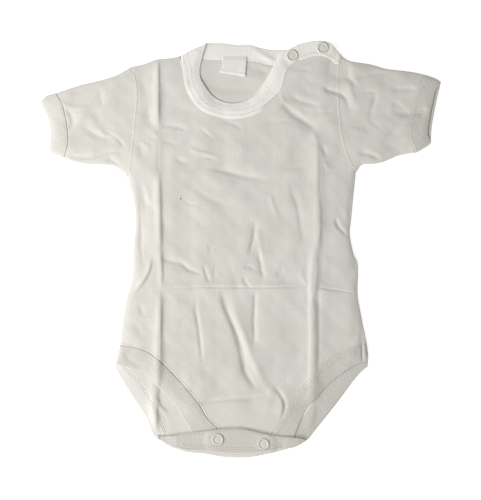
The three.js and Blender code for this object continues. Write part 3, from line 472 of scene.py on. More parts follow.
def front_z(x, y):
    """The middle of the front layer: it rises from the outline as 1 - exp(-inside / reach), carries the folds
    and creases, is held down by the flap, and is level round the shoulder's snaps."""
    sewn = distance_to(x, y, outline_rows)
    inside = np.minimum(sewn, distance_to(x, y, free_rows) + FREE_EDGE)
    lift = LOFT * (1 - np.exp(-inside / LOFT_REACH))
    lift = lift - EDGE_DIP * np.exp(-((distance_to(x, y, free_rows) / EDGE_DIP_REACH) ** 2)) * smooth(0, 4, sewn)
    start = 1 - np.exp(-((sewn / FOLD_START) ** 2))
    fine = FINE_SHARE * relief(x, y, fine_rows, FINE_FADE) + relief(x, y, crinkle_rows, FINE_FADE)
    fine = (fine + RIPPLE_HEIGHT * ripple(x, y)) * (1 - np.exp(-((sewn / 2.5) ** 2)))
    folds = MAIN_SHARE * relief(x, y, main_rows, MAIN_FADE) * start + fine
    loose = FRONT_Z + eased(lift + folds) * smooth(PRESSED_BELOW, PRESSED_ABOVE, y)
    seat = level_round(x, y, shoulder_snaps)
    slope = FRONT_Z + RIGHT_MOUTH_SLOPE * nearest(x, y, right_mouth_row)[0]
    loose = np.where(x > RIGHT_CUFF_START, np.minimum(loose, slope), loose)
    height = loose + (SHOULDER_Z - loose) * seat
    return height - SIDE_DIP * np.exp(-((sewn / SIDE_DIP_REACH) ** 2)) * (1 - seat)


def band_z(x, y):
    return front_z(x, y) + BAND_STEP * (1 - level_round(x, y, shoulder_snaps))


risen_rows = [free_rows[0][3:16], free_rows[1], free_rows[2]]
RISE, RISE_REACH = 0.5, 6.0
BACK_LOFT, BACK_REACH, BACK_HIGHEST = 0.45, 5.0, 2.4


def back_z(x, y):
    """The middle of the back layer: lifted a little off the floor inside its edges, with soft creases, and
    raised under the open edges of the front."""
    sewn = distance_to(x, y, outline_rows)
    risen = RISE * np.exp(-((distance_to(x, y, risen_rows) / RISE_REACH) ** 2))
    lifted = relief(x, y, back_rows, FINE_FADE) + 0.25 * relief(x, y, crinkle_rows, FINE_FADE) + risen + BACK_LOFT
    return BACK_Z + np.clip(lifted * (1 - np.exp(-((sewn / BACK_REACH) ** 2))), 0, BACK_HIGHEST)


def flat_z(x, y):
    return np.full(np.shape(x), BACK_Z)


FLAP_TIPS_FROM, FLAP_TIPS_TO = 50, 72
TIP_Z = BACK_Z + CLOTH + 0.15


def flap_z(x, y):
    """The flap lies on the front, drops to the back beyond the front's edges, and is level at its snaps."""
    tips = smooth(FLAP_TIPS_FROM, FLAP_TIPS_TO, np.abs(x))
    lying = FLAP_Z + (TIP_Z - FLAP_Z) * tips + 0.25 * np.sin(x / 9.0) * np.sin(y / 5 + 1) * (1 - tips)
    return lying + (FLAP_SNAP_Z - lying) * level_round(x, y, crotch_snaps)


def flap_band_z(x, y):
    """The flap's binding, which laps over the two ends of the fold."""
    lap = np.maximum(smooth(37, 43, x), smooth(-53, -59, x))
    return flap_z(x, y) + 0.4 * lap


# Cloth grids
RIM_POINTS = 3


def unit(v):
    return v / np.maximum(np.linalg.norm(v, axis=-1, keepdims=True), 1e-9)


def steps(count):
    return np.linspace(0, 1, count + 1)


def raised(places, height):
    """Places in the plane given their height."""
    return np.concatenate([places, height(places[..., 0], places[..., 1])[..., None]], -1)


def between(foot, head, left, right, u, v):
    """A place between four edges: the blend of foot and head by v, plus that of left and right by u, less the
    blend of the four corners. u and v are grids of shares."""
    u1, v1 = u[..., None], v[..., None]
    p = at(foot, u) * (1 - v1) + at(head, u) * v1 + at(left, v) * (1 - u1) + at(right, v) * u1
    corners = foot[0] * (1 - u1) * (1 - v1) + foot[-1] * u1 * (1 - v1) + head[0] * (1 - u1) * v1
    return p - corners - head[-1] * u1 * v1


def quads(rows, columns, closed):
    """The four corners of each cell of a grid whose places are numbered row by row."""
    i, j = np.meshgrid(np.arange(rows - 1), np.arange(columns if closed else columns - 1), indexing="ij")
    k = (j + 1) % columns
    return np.stack([i * columns + j, i * columns + k, (i + 1) * columns + k, (i + 1) * columns + j], -1).reshape(-1, 4)


def normals(grid, closed):
    """Square to the cloth at each place of its grid: the step along the rows crossed with the step across."""
    if closed:
        along = np.roll(grid, -1, 1) - np.roll(grid, 1, 1)
    else:
        along = np.gradient(grid, axis=1)
    return unit(np.cross(along, np.gradient(grid, axis=0)))


def shell(name, grid, thickness=CLOTH, closed=False, weave=None, relief_grid=None, slot="interlock", turned=False):
    """Closed cloth round a grid of middle places. Each face is the middle moved half the thickness along the
    cloth's normal, and each open edge is a half round: its middle drawn back by half the thickness, plus
    that half x (sin a outwards + cos a along the normal) for a from 0 to 180 degrees."""
    rows, columns = grid.shape[:2]
    square = normals(grid, closed)
    if square[..., 2].mean() < 0:
        square = -square
        turned = not turned
    if turned:
        square = -square
    half = thickness / 2
    grid = grid.copy()
    number = np.arange(rows * columns).reshape(rows, columns)
    if closed:
        loops = [number[0], number[-1][::-1]]
    else:
        loops = [np.r_[number[0, :-1], number[:-1, -1], number[-1, :0:-1], number[:0:-1, 0]]]
    flat, normal = grid.reshape(-1, 3), square.reshape(-1, 3)
    outs = []
    for loop in loops:
        run = np.roll(flat[loop], -1, 0) - np.roll(flat[loop], 1, 0)
        out = unit(np.cross(run, normal[loop]))
        inner = flat.mean(0) if not closed else grid[rows // 2].mean(0)
        if np.einsum("ij,ij->i", out, flat[loop] - inner).mean() < 0:
            out = -out
        outs.append(out)
    for loop, out in zip(loops, outs):
        flat[loop] -= out * half
    lift = 0 if relief_grid is None else relief_grid.reshape(-1, 1)
    upper, lower = flat + normal * (half + lift), flat - normal * half
    count = rows * columns
    points, faces = [upper, lower], [quads(rows, columns, closed), quads(rows, columns, closed)[:, ::-1] + count]
    start = 2 * count
    angles = np.pi * np.arange(1, RIM_POINTS + 1) / (RIM_POINTS + 1)
    for loop, out in zip(loops, outs):
        rim = flat[loop] + half * (np.sin(angles)[:, None, None] * out + np.cos(angles)[:, None, None] * normal[loop])
        points.append(rim.reshape(-1, 3))
        n = len(loop)
        rings = np.vstack([loop, start + np.arange(RIM_POINTS * n).reshape(RIM_POINTS, n), loop + count])
        a, b = rings[:-1], rings[1:]
        faces.append(np.stack([a, b, np.roll(b, -1, 1), np.roll(a, -1, 1)], -1).reshape(-1, 4))
        start += RIM_POINTS * n
    points = np.vstack(points)
    points[:, 2] = np.maximum(points[:, 2], 0)
    if weave is None:
        weave = grid[..., :2] * MM
    weave = weave.reshape(-1, 2)
    uv = np.vstack([weave, weave] + [np.tile(weave[loop], (RIM_POINTS, 1)) for loop in loops])
    return finish_mesh(name, points, np.vstack(faces), uv, slot)


MATERIALS = {}


def finish_mesh(name, points, faces, uv, slot):
    """A mesh object at the origin with its faces turned outwards and its weave as a UV map."""
    mesh = bpy.data.meshes.new(name)
    mesh.from_pydata((points * MM).tolist(), [], faces.tolist())
    a, b, c, d = (points[faces[:, k]] for k in range(4))
    volume = np.einsum("ij,ij->i", a, np.cross(b, c)).sum() + np.einsum("ij,ij->i", a, np.cross(c, d)).sum()
    if volume < 0:
        mesh.flip_normals()
    layer = mesh.uv_layers.new(name="weave")
    corner = np.zeros(len(mesh.loops), np.int32)
    mesh.loops.foreach_get("vertex_index", corner)
    layer.data.foreach_set("uv", uv[corner].astype(np.float32).ravel())
    mesh.polygons.foreach_set("use_smooth", np.ones(len(mesh.polygons), bool))
    mesh.materials.append(MATERIALS[slot])
    mesh.update()
    piece = bpy.data.objects.new(name, mesh)
    bpy.context.scene.collection.objects.link(piece)
    return piece


def turn(start, out, z, count=6):
    """Cloth turning over to height z: half a circle between the two layers, bulging outwards."""
    middle = (start[..., 2] + z) / 2
    radius = (start[..., 2] - middle)
    angle = np.pi * np.arange(1, count + 1) / (count + 1)
    reach = np.abs(radius)[..., None] * np.sin(angle)
    flat = start[..., None, :2] + out[..., None, :] * reach[..., None]
    height = middle[..., None] + radius[..., None] * np.cos(angle)
    return np.concatenate([flat, height[..., None]], -1)


# Materials
def new_material(name, colour, roughness, sheen):
    material = bpy.data.materials.new(name)
    material.use_nodes = True
    tree = material.node_tree
    shader = tree.nodes["Principled BSDF"]
    shader.inputs["Base Color"].default_value = (*colour, 1)
    shader.inputs["Roughness"].default_value = roughness
    shader.inputs["Sheen Weight"].default_value = sheen
    shader.inputs["Sheen Roughness"].default_value = 0.5
    shader.inputs["Specular IOR Level"].default_value = 0.25
    return material, tree, shader


def node(tree, kind, **settings):
    """A node with its inputs linked, where a socket is given, or set."""
    made = tree.nodes.new(kind)
    for key, value in settings.items():
        if key.startswith("in_"):
            socket = made.inputs[int(key[3:])]
            if isinstance(value, bpy.types.NodeSocket):
                tree.links.new(value, socket)
            else:
                socket.default_value = value
        else:
            setattr(made, key, value)
    return made


def maths(tree, operation, first, second=0.0):
    return node(tree, "ShaderNodeMath", operation=operation, in_0=first, in_1=second).outputs[0]


def knit(tree, wale, course, slant):
    """Height of knitted loops: a rounded rib |sin| for each wale, and along it a sine whose phase follows the
    wale, which makes the rows of small arrowheads."""
    split = node(tree, "ShaderNodeSeparateXYZ", in_0=node(tree, "ShaderNodeUVMap", uv_map="weave").outputs[0])
    across = maths(tree, "MULTIPLY", split.outputs[0], np.pi / wale)
    along = maths(tree, "MULTIPLY", split.outputs[1], 2 * np.pi / course)
    hump = maths(tree, "ABSOLUTE", maths(tree, "SINE", across))
    lean = maths(tree, "MULTIPLY", hump, slant)
    loop = maths(tree, "SINE", maths(tree, "ADD", along, lean))
    return maths(tree, "ADD", hump, maths(tree, "MULTIPLY", loop, 0.3))


def cotton(name, pale, deep, wale, course, slant, depth, stain=None):
    """Cotton knit: cream that drifts between a pale and a deeper tone, loops by bump, and a short fuzz."""
    material, tree, shader = new_material(name, pale, 0.95, 0.25)
    where = node(tree, "ShaderNodeTexCoord").outputs["Object"]
    drift = node(tree, "ShaderNodeTexNoise", in_0=where, in_2=22.0, in_3=4.0, in_4=0.55).outputs[0]
    speckle = node(tree, "ShaderNodeTexNoise", in_0=where, in_2=900.0, in_3=2.0, in_4=0.5).outputs[0]
    share = maths(tree, "ADD", maths(tree, "MULTIPLY", drift, 0.75), maths(tree, "MULTIPLY", speckle, 0.25))
    ramp = node(tree, "ShaderNodeValToRGB", in_0=share)
    ramp.color_ramp.elements[0].position, ramp.color_ramp.elements[1].position = 0.36, 0.66
    ramp.color_ramp.elements[0].color, ramp.color_ramp.elements[1].color = (*deep, 1), (*pale, 1)
    colour = ramp.outputs[0]
    if stain:
        spot, radius, tone = stain
        away = node(tree, "ShaderNodeVectorMath", operation="DISTANCE", in_0=where, in_1=spot).outputs["Value"]
        edge = maths(tree, "LESS_THAN", maths(tree, "ADD", away, maths(tree, "MULTIPLY", speckle, radius)), 2 * radius)
        mixed = node(tree, "ShaderNodeMix", data_type="RGBA")
        tree.links.new(edge, mixed.inputs["Factor"])
        tree.links.new(colour, mixed.inputs["A"])
        mixed.inputs["B"].default_value = (*tone, 1)
        tree.links.new(mixed.outputs["Result"], shader.inputs["Base Color"])
    else:
        tree.links.new(colour, shader.inputs["Base Color"])
    fuzz = node(tree, "ShaderNodeTexNoise", in_0=where, in_2=2600.0, in_3=3.0, in_4=0.6).outputs[0]
    pucker = node(tree, "ShaderNodeTexNoise", in_0=where, in_2=430.0, in_3=2.0, in_4=0.5).outputs[0]
    soft = maths(tree, "ADD", maths(tree, "MULTIPLY", fuzz, 0.6), maths(tree, "MULTIPLY", pucker, 7.5))
    height = maths(tree, "ADD", knit(tree, wale, course, slant), soft)
    bump = node(tree, "ShaderNodeBump", in_0=0.35, in_1=depth, in_3=height)
    tree.links.new(bump.outputs[0], shader.inputs["Normal"])
    MATERIALS[name] = material
    return material


CREAM, CREAM_DEEP = (0.76, 0.737, 0.685), (0.722, 0.698, 0.64)
# The rib knit of the neckband, the plackets and their seams: its own slightly creamier tone plus painted light, as it
# is made much lighter than the body cloth and the other rib copies
RIB_CREAM_LIT, RIB_DEEP_LIT = (0.93, 0.912, 0.857), (0.89, 0.868, 0.81)
CUFF_CREAM, CUFF_DEEP = (0.735, 0.716, 0.665), (0.69, 0.669, 0.61)
# A darker copy of the rib knit: painted shade for the leg bands, the crotch bands and the right cuff, which lie turned
# from the light
SHADED_RIB_PALE, SHADED_RIB_DARK = (0.70, 0.682, 0.628), (0.655, 0.634, 0.572)
STAIN_AT = ((180.8 - MIDDLE_X) * PIXEL * MM, (MIDDLE_Y - 198.7) * PIXEL * MM, 0.0045)
cotton("interlock", CREAM, CREAM_DEEP, 0.0008, 0.0007, 2.2, 0.00008,
       stain=(STAIN_AT, 0.0006, (0.36, 0.27, 0.2)))
cotton("rib", RIB_CREAM_LIT, RIB_DEEP_LIT, 0.0017, 0.001, 1.6, 0.0001)
cotton("cuff_rib", CUFF_CREAM, CUFF_DEEP, 0.0017, 0.001, 1.6, 0.0001)
# Painted shade: the rib knit made darker for the pieces that lie turned from the light
cotton("shaded_rib", SHADED_RIB_PALE, SHADED_RIB_DARK, 0.0017, 0.001, 1.6, 0.00013)
# A lighter copy of the rib knit: painted light on the left leg band of the back and its seam
cotton("lit_back_rib", (0.83, 0.811, 0.757), (0.79, 0.77, 0.71), 0.0017, 0.001, 1.6, 0.0001)
cotton("thread", (0.79, 0.76, 0.69), (0.73, 0.69, 0.61), 0.0004, 0.0005, 3.0, 0.0001)


def woven_tape(name, pale, deep):
    """Plain white woven tape: fine crossed threads by bump, smoother than the knit."""
    material, tree, shader = new_material(name, pale, 0.8, 0.1)
    split = node(tree, "ShaderNodeSeparateXYZ", in_0=node(tree, "ShaderNodeUVMap", uv_map="weave").outputs[0])
    warp = maths(tree, "SINE", maths(tree, "MULTIPLY", split.outputs[0], 2 * np.pi / 0.00045))
    weft = maths(tree, "SINE", maths(tree, "MULTIPLY", split.outputs[1], 2 * np.pi / 0.00045))
    where = node(tree, "ShaderNodeTexCoord").outputs["Object"]
    drift = node(tree, "ShaderNodeTexNoise", in_0=where, in_2=160.0, in_3=3.0, in_4=0.5).outputs[0]
    ramp = node(tree, "ShaderNodeValToRGB", in_0=drift)
    ramp.color_ramp.elements[0].color, ramp.color_ramp.elements[1].color = (*deep, 1), (*pale, 1)
    tree.links.new(ramp.outputs[0], shader.inputs["Base Color"])
    bump = node(tree, "ShaderNodeBump", in_0=0.3, in_1=0.00008, in_3=maths(tree, "MULTIPLY", warp, weft))
    tree.links.new(bump.outputs[0], shader.inputs["Normal"])
    MATERIALS[name] = material


def snap_enamel():
    """Cream enamel on a pressed ring, a little greener than the cloth, worn thin in specks."""
    material, tree, shader = new_material("enamel", (0.74, 0.73, 0.64), 0.4, 0.0)
    where = node(tree, "ShaderNodeTexCoord").outputs["Object"]
    wear = node(tree, "ShaderNodeTexNoise", in_0=where, in_2=700.0, in_3=4.0, in_4=0.6).outputs[0]
    ramp = node(tree, "ShaderNodeValToRGB", in_0=wear)
    ramp.color_ramp.elements[0].position, ramp.color_ramp.elements[1].position = 0.3, 0.62
    ramp.color_ramp.elements[0].color, ramp.color_ramp.elements[1].color = (0.66, 0.65, 0.54, 1), (0.76, 0.75, 0.66, 1)
    tree.links.new(ramp.outputs[0], shader.inputs["Base Color"])
    bump = node(tree, "ShaderNodeBump", in_0=0.15, in_1=0.0001, in_3=wear)
    tree.links.new(bump.outputs[0], shader.inputs["Normal"])
    MATERIALS["enamel"] = material


woven_tape("label", (0.87, 0.86, 0.82), (0.84, 0.83, 0.785))
# A lighter copy of the label tape for its folded foot: painted highlight where the fold catches the light
woven_tape("lit_label_fold", (0.96, 0.95, 0.92), (0.94, 0.93, 0.9))
snap_enamel()

# Front and back
WAIST = -34.5
# Columns of the front: cells, how crowded they are at the start and at the end, x at the waist, the seam
# that it stands on and how far along that it reaches
COLUMNS = [
    (33, 0, 1, -72.5, "left", -70), (24, 1, 0, -53, "left", -46), (27, 0, 0, -22, "left", -17),
    (28, 0, 0, 12, "crotch", 27), (31, 0, 0, 50, "right", 46), (22, 0, 1, 69, "right", 68),
    (37, 1, 0, None, "right", 113.6)]
LOWER_ROWS, UPPER_ROWS = 86, 142
CROWDING, CROWD_REACH = 2.0, 0.2
NECK_SPLIT = (0.37, 0.62)
crease_left = share_at(shoulder_left, 0, -72.8)
crease_right = share_at(placket_seam, 0, 71)
SEAMS = {"left": leg_seam_left, "crotch": crotch_seam, "right": leg_seam_right}

feet, reached = [], {}
for *_, seam, foot_to in COLUMNS:
    edge = SEAMS[seam]
    foot_end = 1.0 if abs(edge[-1, 0] - foot_to) < 0.1 else share_at(edge, 0, foot_to)
    feet.append(part(edge, reached.get(seam, 0), foot_end))
    reached[seam] = foot_end
heads = [
    part(shoulder_left, 0, crease_left), part(shoulder_left, crease_left, 1),
    part(neck_front_seam, 0, NECK_SPLIT[0]), part(neck_front_seam, *NECK_SPLIT),
    part(neck_front_seam, NECK_SPLIT[1], 1),
    part(placket_seam, 0, crease_right), part(placket_seam, crease_right, 1)]


def crowded(cells, at_start, at_end, reach=CROWD_REACH):
    """Shares from 0 to 1 that stand closer together towards a crowded end: their density there is
    1 + crowding x exp(-(share / reach)^2)."""
    s = np.linspace(0, 1, 600)
    from_start, from_end = np.exp(-((s / reach) ** 2)), np.exp(-(((1 - s) / reach) ** 2))
    density = 1 + CROWDING * (at_start * from_start + at_end * from_end)
    total = np.r_[0, np.cumsum((density[1:] + density[:-1]) / 2)]
    return np.interp(np.linspace(0, total[-1], cells + 1), total, s)


def tier(foot, head, sides, rows):
    """One tier of the front: its columns side by side, each a surface between its four edges."""
    blocks = []
    for k, (cells, at_start, at_end, *_) in enumerate(COLUMNS):
        v, u = np.meshgrid(rows, crowded(cells, at_start, at_end)[1 if k else 0:], indexing="ij")
        blocks.append(between(foot[k], head[k], sides[k], sides[k + 1], u, v))
    return np.concatenate(blocks, 1)


def front_cloth():
    waist_left, waist_right = share_at(side_left, 1, WAIST), share_at(side_right, 1, WAIST)
    inner = [(column[3], WAIST) for column in COLUMNS[:-1]]
    waist = [at(side_left, waist_left), *inner, at(side_right, waist_right)]
    across = [straight(a, b) for a, b in zip(waist[:-1], waist[1:])]
    lower_sides = [
        part(side_left, 0, waist_left),
        *[straight(feet[k][-1], to) for k, to in enumerate(inner)],
        part(side_right, 1, waist_right)]
    upper_sides = [
        chain(part(side_left, waist_left, 1), armhole_left),
        *[straight(start, heads[k][-1]) for k, start in enumerate(inner)],
        chain(part(side_right, waist_right, 0), armhole_right)]
    lower = tier(feet, across, lower_sides, crowded(LOWER_ROWS, 0, 1, 0.06))
    upper = tier(across, heads, upper_sides, crowded(UPPER_ROWS, 1, 0, 0.04))
    return shell("front_cloth", raised(np.concatenate([lower, upper[1:]]), front_z))


fold_out = np.gradient(crotch_fold, axis=0)[:, ::-1] * (1, -1)
fold_out = unit(np.where(fold_out[:, 1:] > 0, -fold_out, fold_out))
fold_reach = (flap_z(crotch_fold[:, 0], crotch_fold[:, 1]) - BACK_Z) / 2 + CLOTH / 2
fold_start = crotch_fold - fold_out * fold_reach[:, None]
fold_shares = np.linspace(0, 1, EDGE_PLACES)
flap_seam = fold_start - fold_out * (0.8 + 3 * np.sin(np.pi * fold_shares) ** 2)[:, None]
BACK_CELLS, BACK_ROWS = 92, 170


def back_cloth():
    """The flat back between its outline's sides, with the flap that turns up over the front at its foot."""
    hip_share_left = share_at(hip_left, 1, back_seam_left[-1, 1])
    hip_share_right = share_at(hip_right, 1, back_seam_right[0, 1])
    foot = fold_start[::-1]
    left = chain(straight(foot[0], back_seam_left[0]), back_seam_left, part(hip_left, hip_share_left, 1),
                 side_left, armhole_left)
    right = chain(straight(foot[-1], back_seam_right[-1]), back_seam_right[::-1],
                  part(hip_right, hip_share_right, 0), side_right[::-1], armhole_right)
    head = chain(shoulder_left, neck_back_seam, placket_seam)
    v, u = np.meshgrid(steps(BACK_ROWS), steps(BACK_CELLS), indexing="ij")
    flat = raised(between(foot, head, left, right, u, v), back_z)
    share = steps(BACK_CELLS)
    low = flat[0]
    high = raised(at(fold_start[::-1], share), flap_z)
    seam = raised(at(flap_seam[::-1], share), flap_z)
    turned = turn(low, at(fold_out[::-1], share), high[:, 2])
    rows = [seam, high, *[turned[:, k] for k in range(turned.shape[1])][::-1]]
    return shell("back_cloth", np.concatenate([np.stack(rows), flat]), turned=True)


# Bands
RIB_PITCH, RIB_HEIGHT, CUFF_RIB = 1.7, 0.07, 0.05
CELLS_PER_RIB = 4


def band(name, first, second, height, wide=8, rib=RIB_HEIGHT, slot="rib", match=None,
         pitch=RIB_PITCH):
    """A band of rib between a seam and a free edge that run the same way. Its ribs cross it: the outer face is
    raised by their height x (1 - cos) / 2 along the band, and they fade at its two edges."""
    cells = int(round(length_of(first) / pitch)) * CELLS_PER_RIB
    w, t = np.meshgrid(steps(wide), steps(cells), indexing="ij")
    second_t = match(at(first, t)) if match else t
    places = at(first, t) * (1 - w[..., None]) + at(second, second_t) * w[..., None]
    grid = raised(places, height)
    ribs = rib * (1 - np.cos(2 * np.pi * t * cells / CELLS_PER_RIB)) / 2 * np.sin(np.pi * np.clip(w, 0.06, 0.94)) ** 0.5
    width = float(np.linalg.norm(first - second, axis=1).mean())
    weave = np.stack([t * length_of(first), w * width], -1) * MM
    return shell(name, grid, weave=weave, relief_grid=ribs, slot=slot)


def tube(name, root, mouth, top, under, height, slot, cells, rows, gape=0.0, ribbed=False):
    """A sleeve or a cuff pressed flat: at each share of its length a closed ring of an upper layer, a turn, a
    lower layer and a turn. The upper layer may draw back at the mouth, where the lower one then turns up."""
    inset_by = 1.7
    v, u = np.meshgrid(steps(rows), steps(cells), indexing="ij")
    wide = np.linalg.norm(at(top, v) - at(under, v), axis=-1)
    inset = inset_by / wide
    flat = between(root, mouth, top, under, inset + (1 - 2 * inset) * u, v)
    lower = raised(flat, flat_z)
    open_share = smooth(0, 0.13, u) * smooth(0, 0.13, 1 - u)
    lower[..., 2] += gape * (0.15 * smooth(0.3, 0.8, v) + 0.32 * smooth(0.75, 1, v)) * open_share
    drawn = flat.copy()
    drawn[..., 0] -= gape * v * open_share
    upper = raised(drawn, height)
    out_top = unit(flat[:, 0] - flat[:, 1])
    out_under = unit(flat[:, -1] - flat[:, -2])
    ring = np.concatenate([
        upper, turn(upper[:, -1], out_under, lower[:, -1, 2]), lower[:, ::-1],
        turn(lower[:, 0], out_top, upper[:, 0, 2])], 1)
    count = ring.shape[1]
    girth = 2 * float(wide.mean())
    along = float(np.linalg.norm(root.mean(0) - mouth.mean(0)))
    vv, uu = np.meshgrid(steps(rows), np.arange(count) / count, indexing="ij")
    weave = np.stack([uu * girth, vv * along], -1) * MM
    ribs = None
    if ribbed:
        turns = round(girth / RIB_PITCH)
        ribs = CUFF_RIB * (1 - np.cos(2 * np.pi * uu * turns)) / 2 * np.sin(np.pi * np.clip(vv, 0.06, 0.94)) ** 0.5
    return tube_shell(name, ring, weave, ribs, slot)


def tube_shell(name, ring, weave, ribs, slot):
    """A tube's wall, whose normal is made to point away from the tube's own middle line."""
    square = normals(ring, True)
    middle = ring.mean(1, keepdims=True)
    if np.einsum("ijk,ijk->ij", square, ring - middle).mean() < 0:
        ring, weave = ring[:, ::-1], weave[:, ::-1]
        ribs = None if ribs is None else ribs[:, ::-1]
    return shell_round(name, ring, weave, ribs, slot)


def shell_round(name, ring, weave, ribs, slot):
    """As shell, for a ring: the inner and outer faces and a half round at each mouth."""
    rows, columns = ring.shape[:2]
    square = normals(ring, True)
    half = CLOTH / 2
    ring = ring.copy()
    ends = [(0, unit(ring[0] - ring[1])), (rows - 1, unit(ring[-1] - ring[-2]))]
    for row, out in ends:
        ring[row] -= out * half
    lift = 0 if ribs is None else ribs[..., None]
    outer, inner = ring + square * (half + lift), ring - square * half
    count = rows * columns
    points = [outer.reshape(-1, 3), inner.reshape(-1, 3)]
    cells = quads(rows, columns, True)
    faces = [cells, cells[:, ::-1] + count]
    uv = [weave.reshape(-1, 2)] * 2
    start = 2 * count
    angles = np.pi * np.arange(1, RIM_POINTS + 1) / (RIM_POINTS + 1)
    for row, out in ends:
        rim = ring[row] + half * (np.sin(angles)[:, None, None] * out + np.cos(angles)[:, None, None] * square[row])
        points.append(rim.reshape(-1, 3))
        uv.append(np.tile(weave[row], (RIM_POINTS, 1)))
        loop = np.arange(columns) + row * columns
        rings = np.vstack([loop, start + np.arange(RIM_POINTS * columns).reshape(RIM_POINTS, columns), loop + count])
        a, b = rings[:-1], rings[1:]
        strip = np.stack([a, np.roll(a, -1, 1), np.roll(b, -1, 1), b], -1).reshape(-1, 4)
        faces.append(strip[:, ::-1] if row == 0 else strip)
        start += RIM_POINTS * columns
    points = np.vstack(points)
    points[:, 2] = np.maximum(points[:, 2], 0)
    return finish_mesh(name, points, np.vstack(faces), np.vstack(uv), slot)


# Stitches
def stitches(name, runs, height, pitch=2.3, size=1.6, radius=0.32, lift=0.06):
    """Rows of sewing on the cloth. Each stitch is a small six-sided lozenge: rings of radius x sin along its
    length, set along the run and lying on the cloth's upper face."""
    angles = np.arange(6) * np.pi / 3
    share = np.array([0.04, 0.3, 0.7, 0.96])
    girth = np.array([0.35, 1, 1, 0.35])
    points, faces = [], []
    start = 0
    for run in runs:
        count = max(2, int(length_of(run) / pitch))
        t = (np.arange(count) + 0.5) / count
        middle = at(run, t)
        ahead = unit(at(run, t + 0.002) - at(run, t - 0.002))
        side = np.stack([-ahead[:, 1], ahead[:, 0]], -1)
        along = (share - 0.5) * size
        ground = height(middle[:, 0], middle[:, 1]) + CLOTH / 2 + lift
        flat = (middle[:, None, None] + ahead[:, None, None] * along[None, :, None, None]
                + side[:, None, None] * (girth[:, None] * radius * np.cos(angles))[None, :, :, None])
        z = ground[:, None, None] + (girth[:, None] * radius * np.sin(angles))[None] - 0.1 * (np.abs(along)[None, :, None] / size)
        block = np.concatenate([flat, z[..., None]], -1)
        points.append(block.reshape(-1, 3))
        k = np.arange(count)[:, None, None] * 24 + start
        i, j = np.meshgrid(np.arange(3), np.arange(6), indexing="ij")
        n = (j + 1) % 6
        cell = np.stack([i * 6 + j, i * 6 + n, (i + 1) * 6 + n, (i + 1) * 6 + j], -1).reshape(1, -1, 4)
        caps = np.array([[[3, 2, 1, 0], [5, 4, 3, 0], [18, 19, 20, 21], [18, 21, 22, 23]]])
        faces.append((np.concatenate([cell, caps], 1) + k).reshape(-1, 4))
        start += 24 * count
    points = np.vstack(points)
    uv = points[:, :2] * MM
    return finish_mesh(name, points, np.vstack(faces), uv, "thread")


def beside(edge, offset):
    """The line a fixed distance to the left of an edge."""
    ahead = unit(np.gradient(edge, axis=0))
    return evened(edge + offset * np.stack([-ahead[:, 1], ahead[:, 0]], -1))


def top_of_band(x, y):
    return band_z(x, y) + RIB_HEIGHT * 0.6


# Pieces
def dress(piece, *replaced):
    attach(piece, "root")
    if replaced:
        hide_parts(*replaced)
    return piece


front = dress(front_cloth(), "front_panel")
back = dress(back_cloth(), "back_panel")
left_sleeve = dress(tube("left_sleeve", armhole_left[::-1], cuff_seam_left, sleeve_top_left, sleeve_under_left,
                         front_z, "interlock", 64, 52), "sleeve_left")
right_sleeve = dress(tube("right_sleeve", chain(placket_end[::-1], armhole_right[::-1]), cuff_seam_right,
                          sleeve_top_right, sleeve_under_right, front_z, "interlock", 64, 56), "sleeve_right")
left_cuff = dress(tube("left_cuff", cuff_seam_left, mouth_left, cuff_top_left, cuff_under_left,
                       band_z, "cuff_rib", 140, 12, ribbed=True), "cuff_left")
# The right cuff is in the darker rib copy: painted shade, as it slopes away from the light
right_cuff = dress(tube("right_cuff", cuff_seam_right, mouth_right, cuff_top_right, cuff_under_right,
                        band_z, "shaded_rib", 150, 24, gape=CUFF_GAPE, ribbed=True), "cuff_right")
neck_back_outer = chain(neck_turn, neck_back_free, neck_end_top)
front_neckband = dress(band("front_neckband", neck_front_seam, neck_front_free, band_z, wide=12), "neck_band_front")
back_neckband = dress(band("back_neckband", part(neck_back_seam, 0.05, 1), part(neck_back_outer, 0.05, 1), back_z,
                           rib=0.03),
                      "neck_band_back")
upper_placket = dress(band("upper_placket", placket_seam, placket_top, band_z), "shoulder_placket_front")
lower_placket = dress(band("lower_placket", placket_seam, placket_top, back_z), "shoulder_placket_back")
leg_bands = [
    dress(band("left_leg_band_front", leg_seam_left, leg_free_left, band_z, wide=10,
               slot="shaded_rib"), "leg_band_front_left"),
    dress(band("right_leg_band_front", leg_seam_right, leg_free_right, band_z, wide=10,
               slot="shaded_rib"), "leg_band_front_right"),
    dress(band("left_leg_band_back", back_seam_left, back_leg_left, back_z, slot="lit_back_rib"),
          "leg_band_back_left"),
    dress(band("right_leg_band_back", back_seam_right, back_leg_right, back_z, rib=0.17,
               slot="shaded_rib", pitch=2.3), "leg_band_back_right"),
]
crotch_under_top = chain(
    straight(leg_free_left[-1], leg_seam_left[-1]), crotch_seam, straight(leg_seam_right[0], leg_free_right[0]))
under_band = dress(band("crotch_band_under", crotch_under_top, crotch_under_end,
                        lambda x, y: np.full(np.shape(x), FRONT_Z), slot="shaded_rib"), "crotch_band_front")
flap_run = part(flap_seam, 0.06, 0.94)
flap_low = chain(
    line(FLAP_TIP_RIGHT, (54.5, -174.6), (49.5, -177.2), (44.5, -178.4), tuple(flap_run[0])), flap_run,
    line(tuple(flap_run[-1]), (-60.5, -178), (-66.5, -175), (-72, -171.2), FLAP_TIP_LEFT))
flap_band = dress(band("crotch_band_flap", flap_low, flap_edge, flap_band_z, wide=12, slot="shaded_rib",
                       match=lambda p: share_at(flap_edge, 0, p[..., 0])), "crotch_band_back")


# The label: blank tape folded in two, with its loose end turned up as a strip along its foot
label_low = line((-17.2, 159.8), (-6.5, 158.1), (4.2, 156.2))
label_high = line((-15, 181.6), (-4.2, 181.2), (6.6, 180.6))


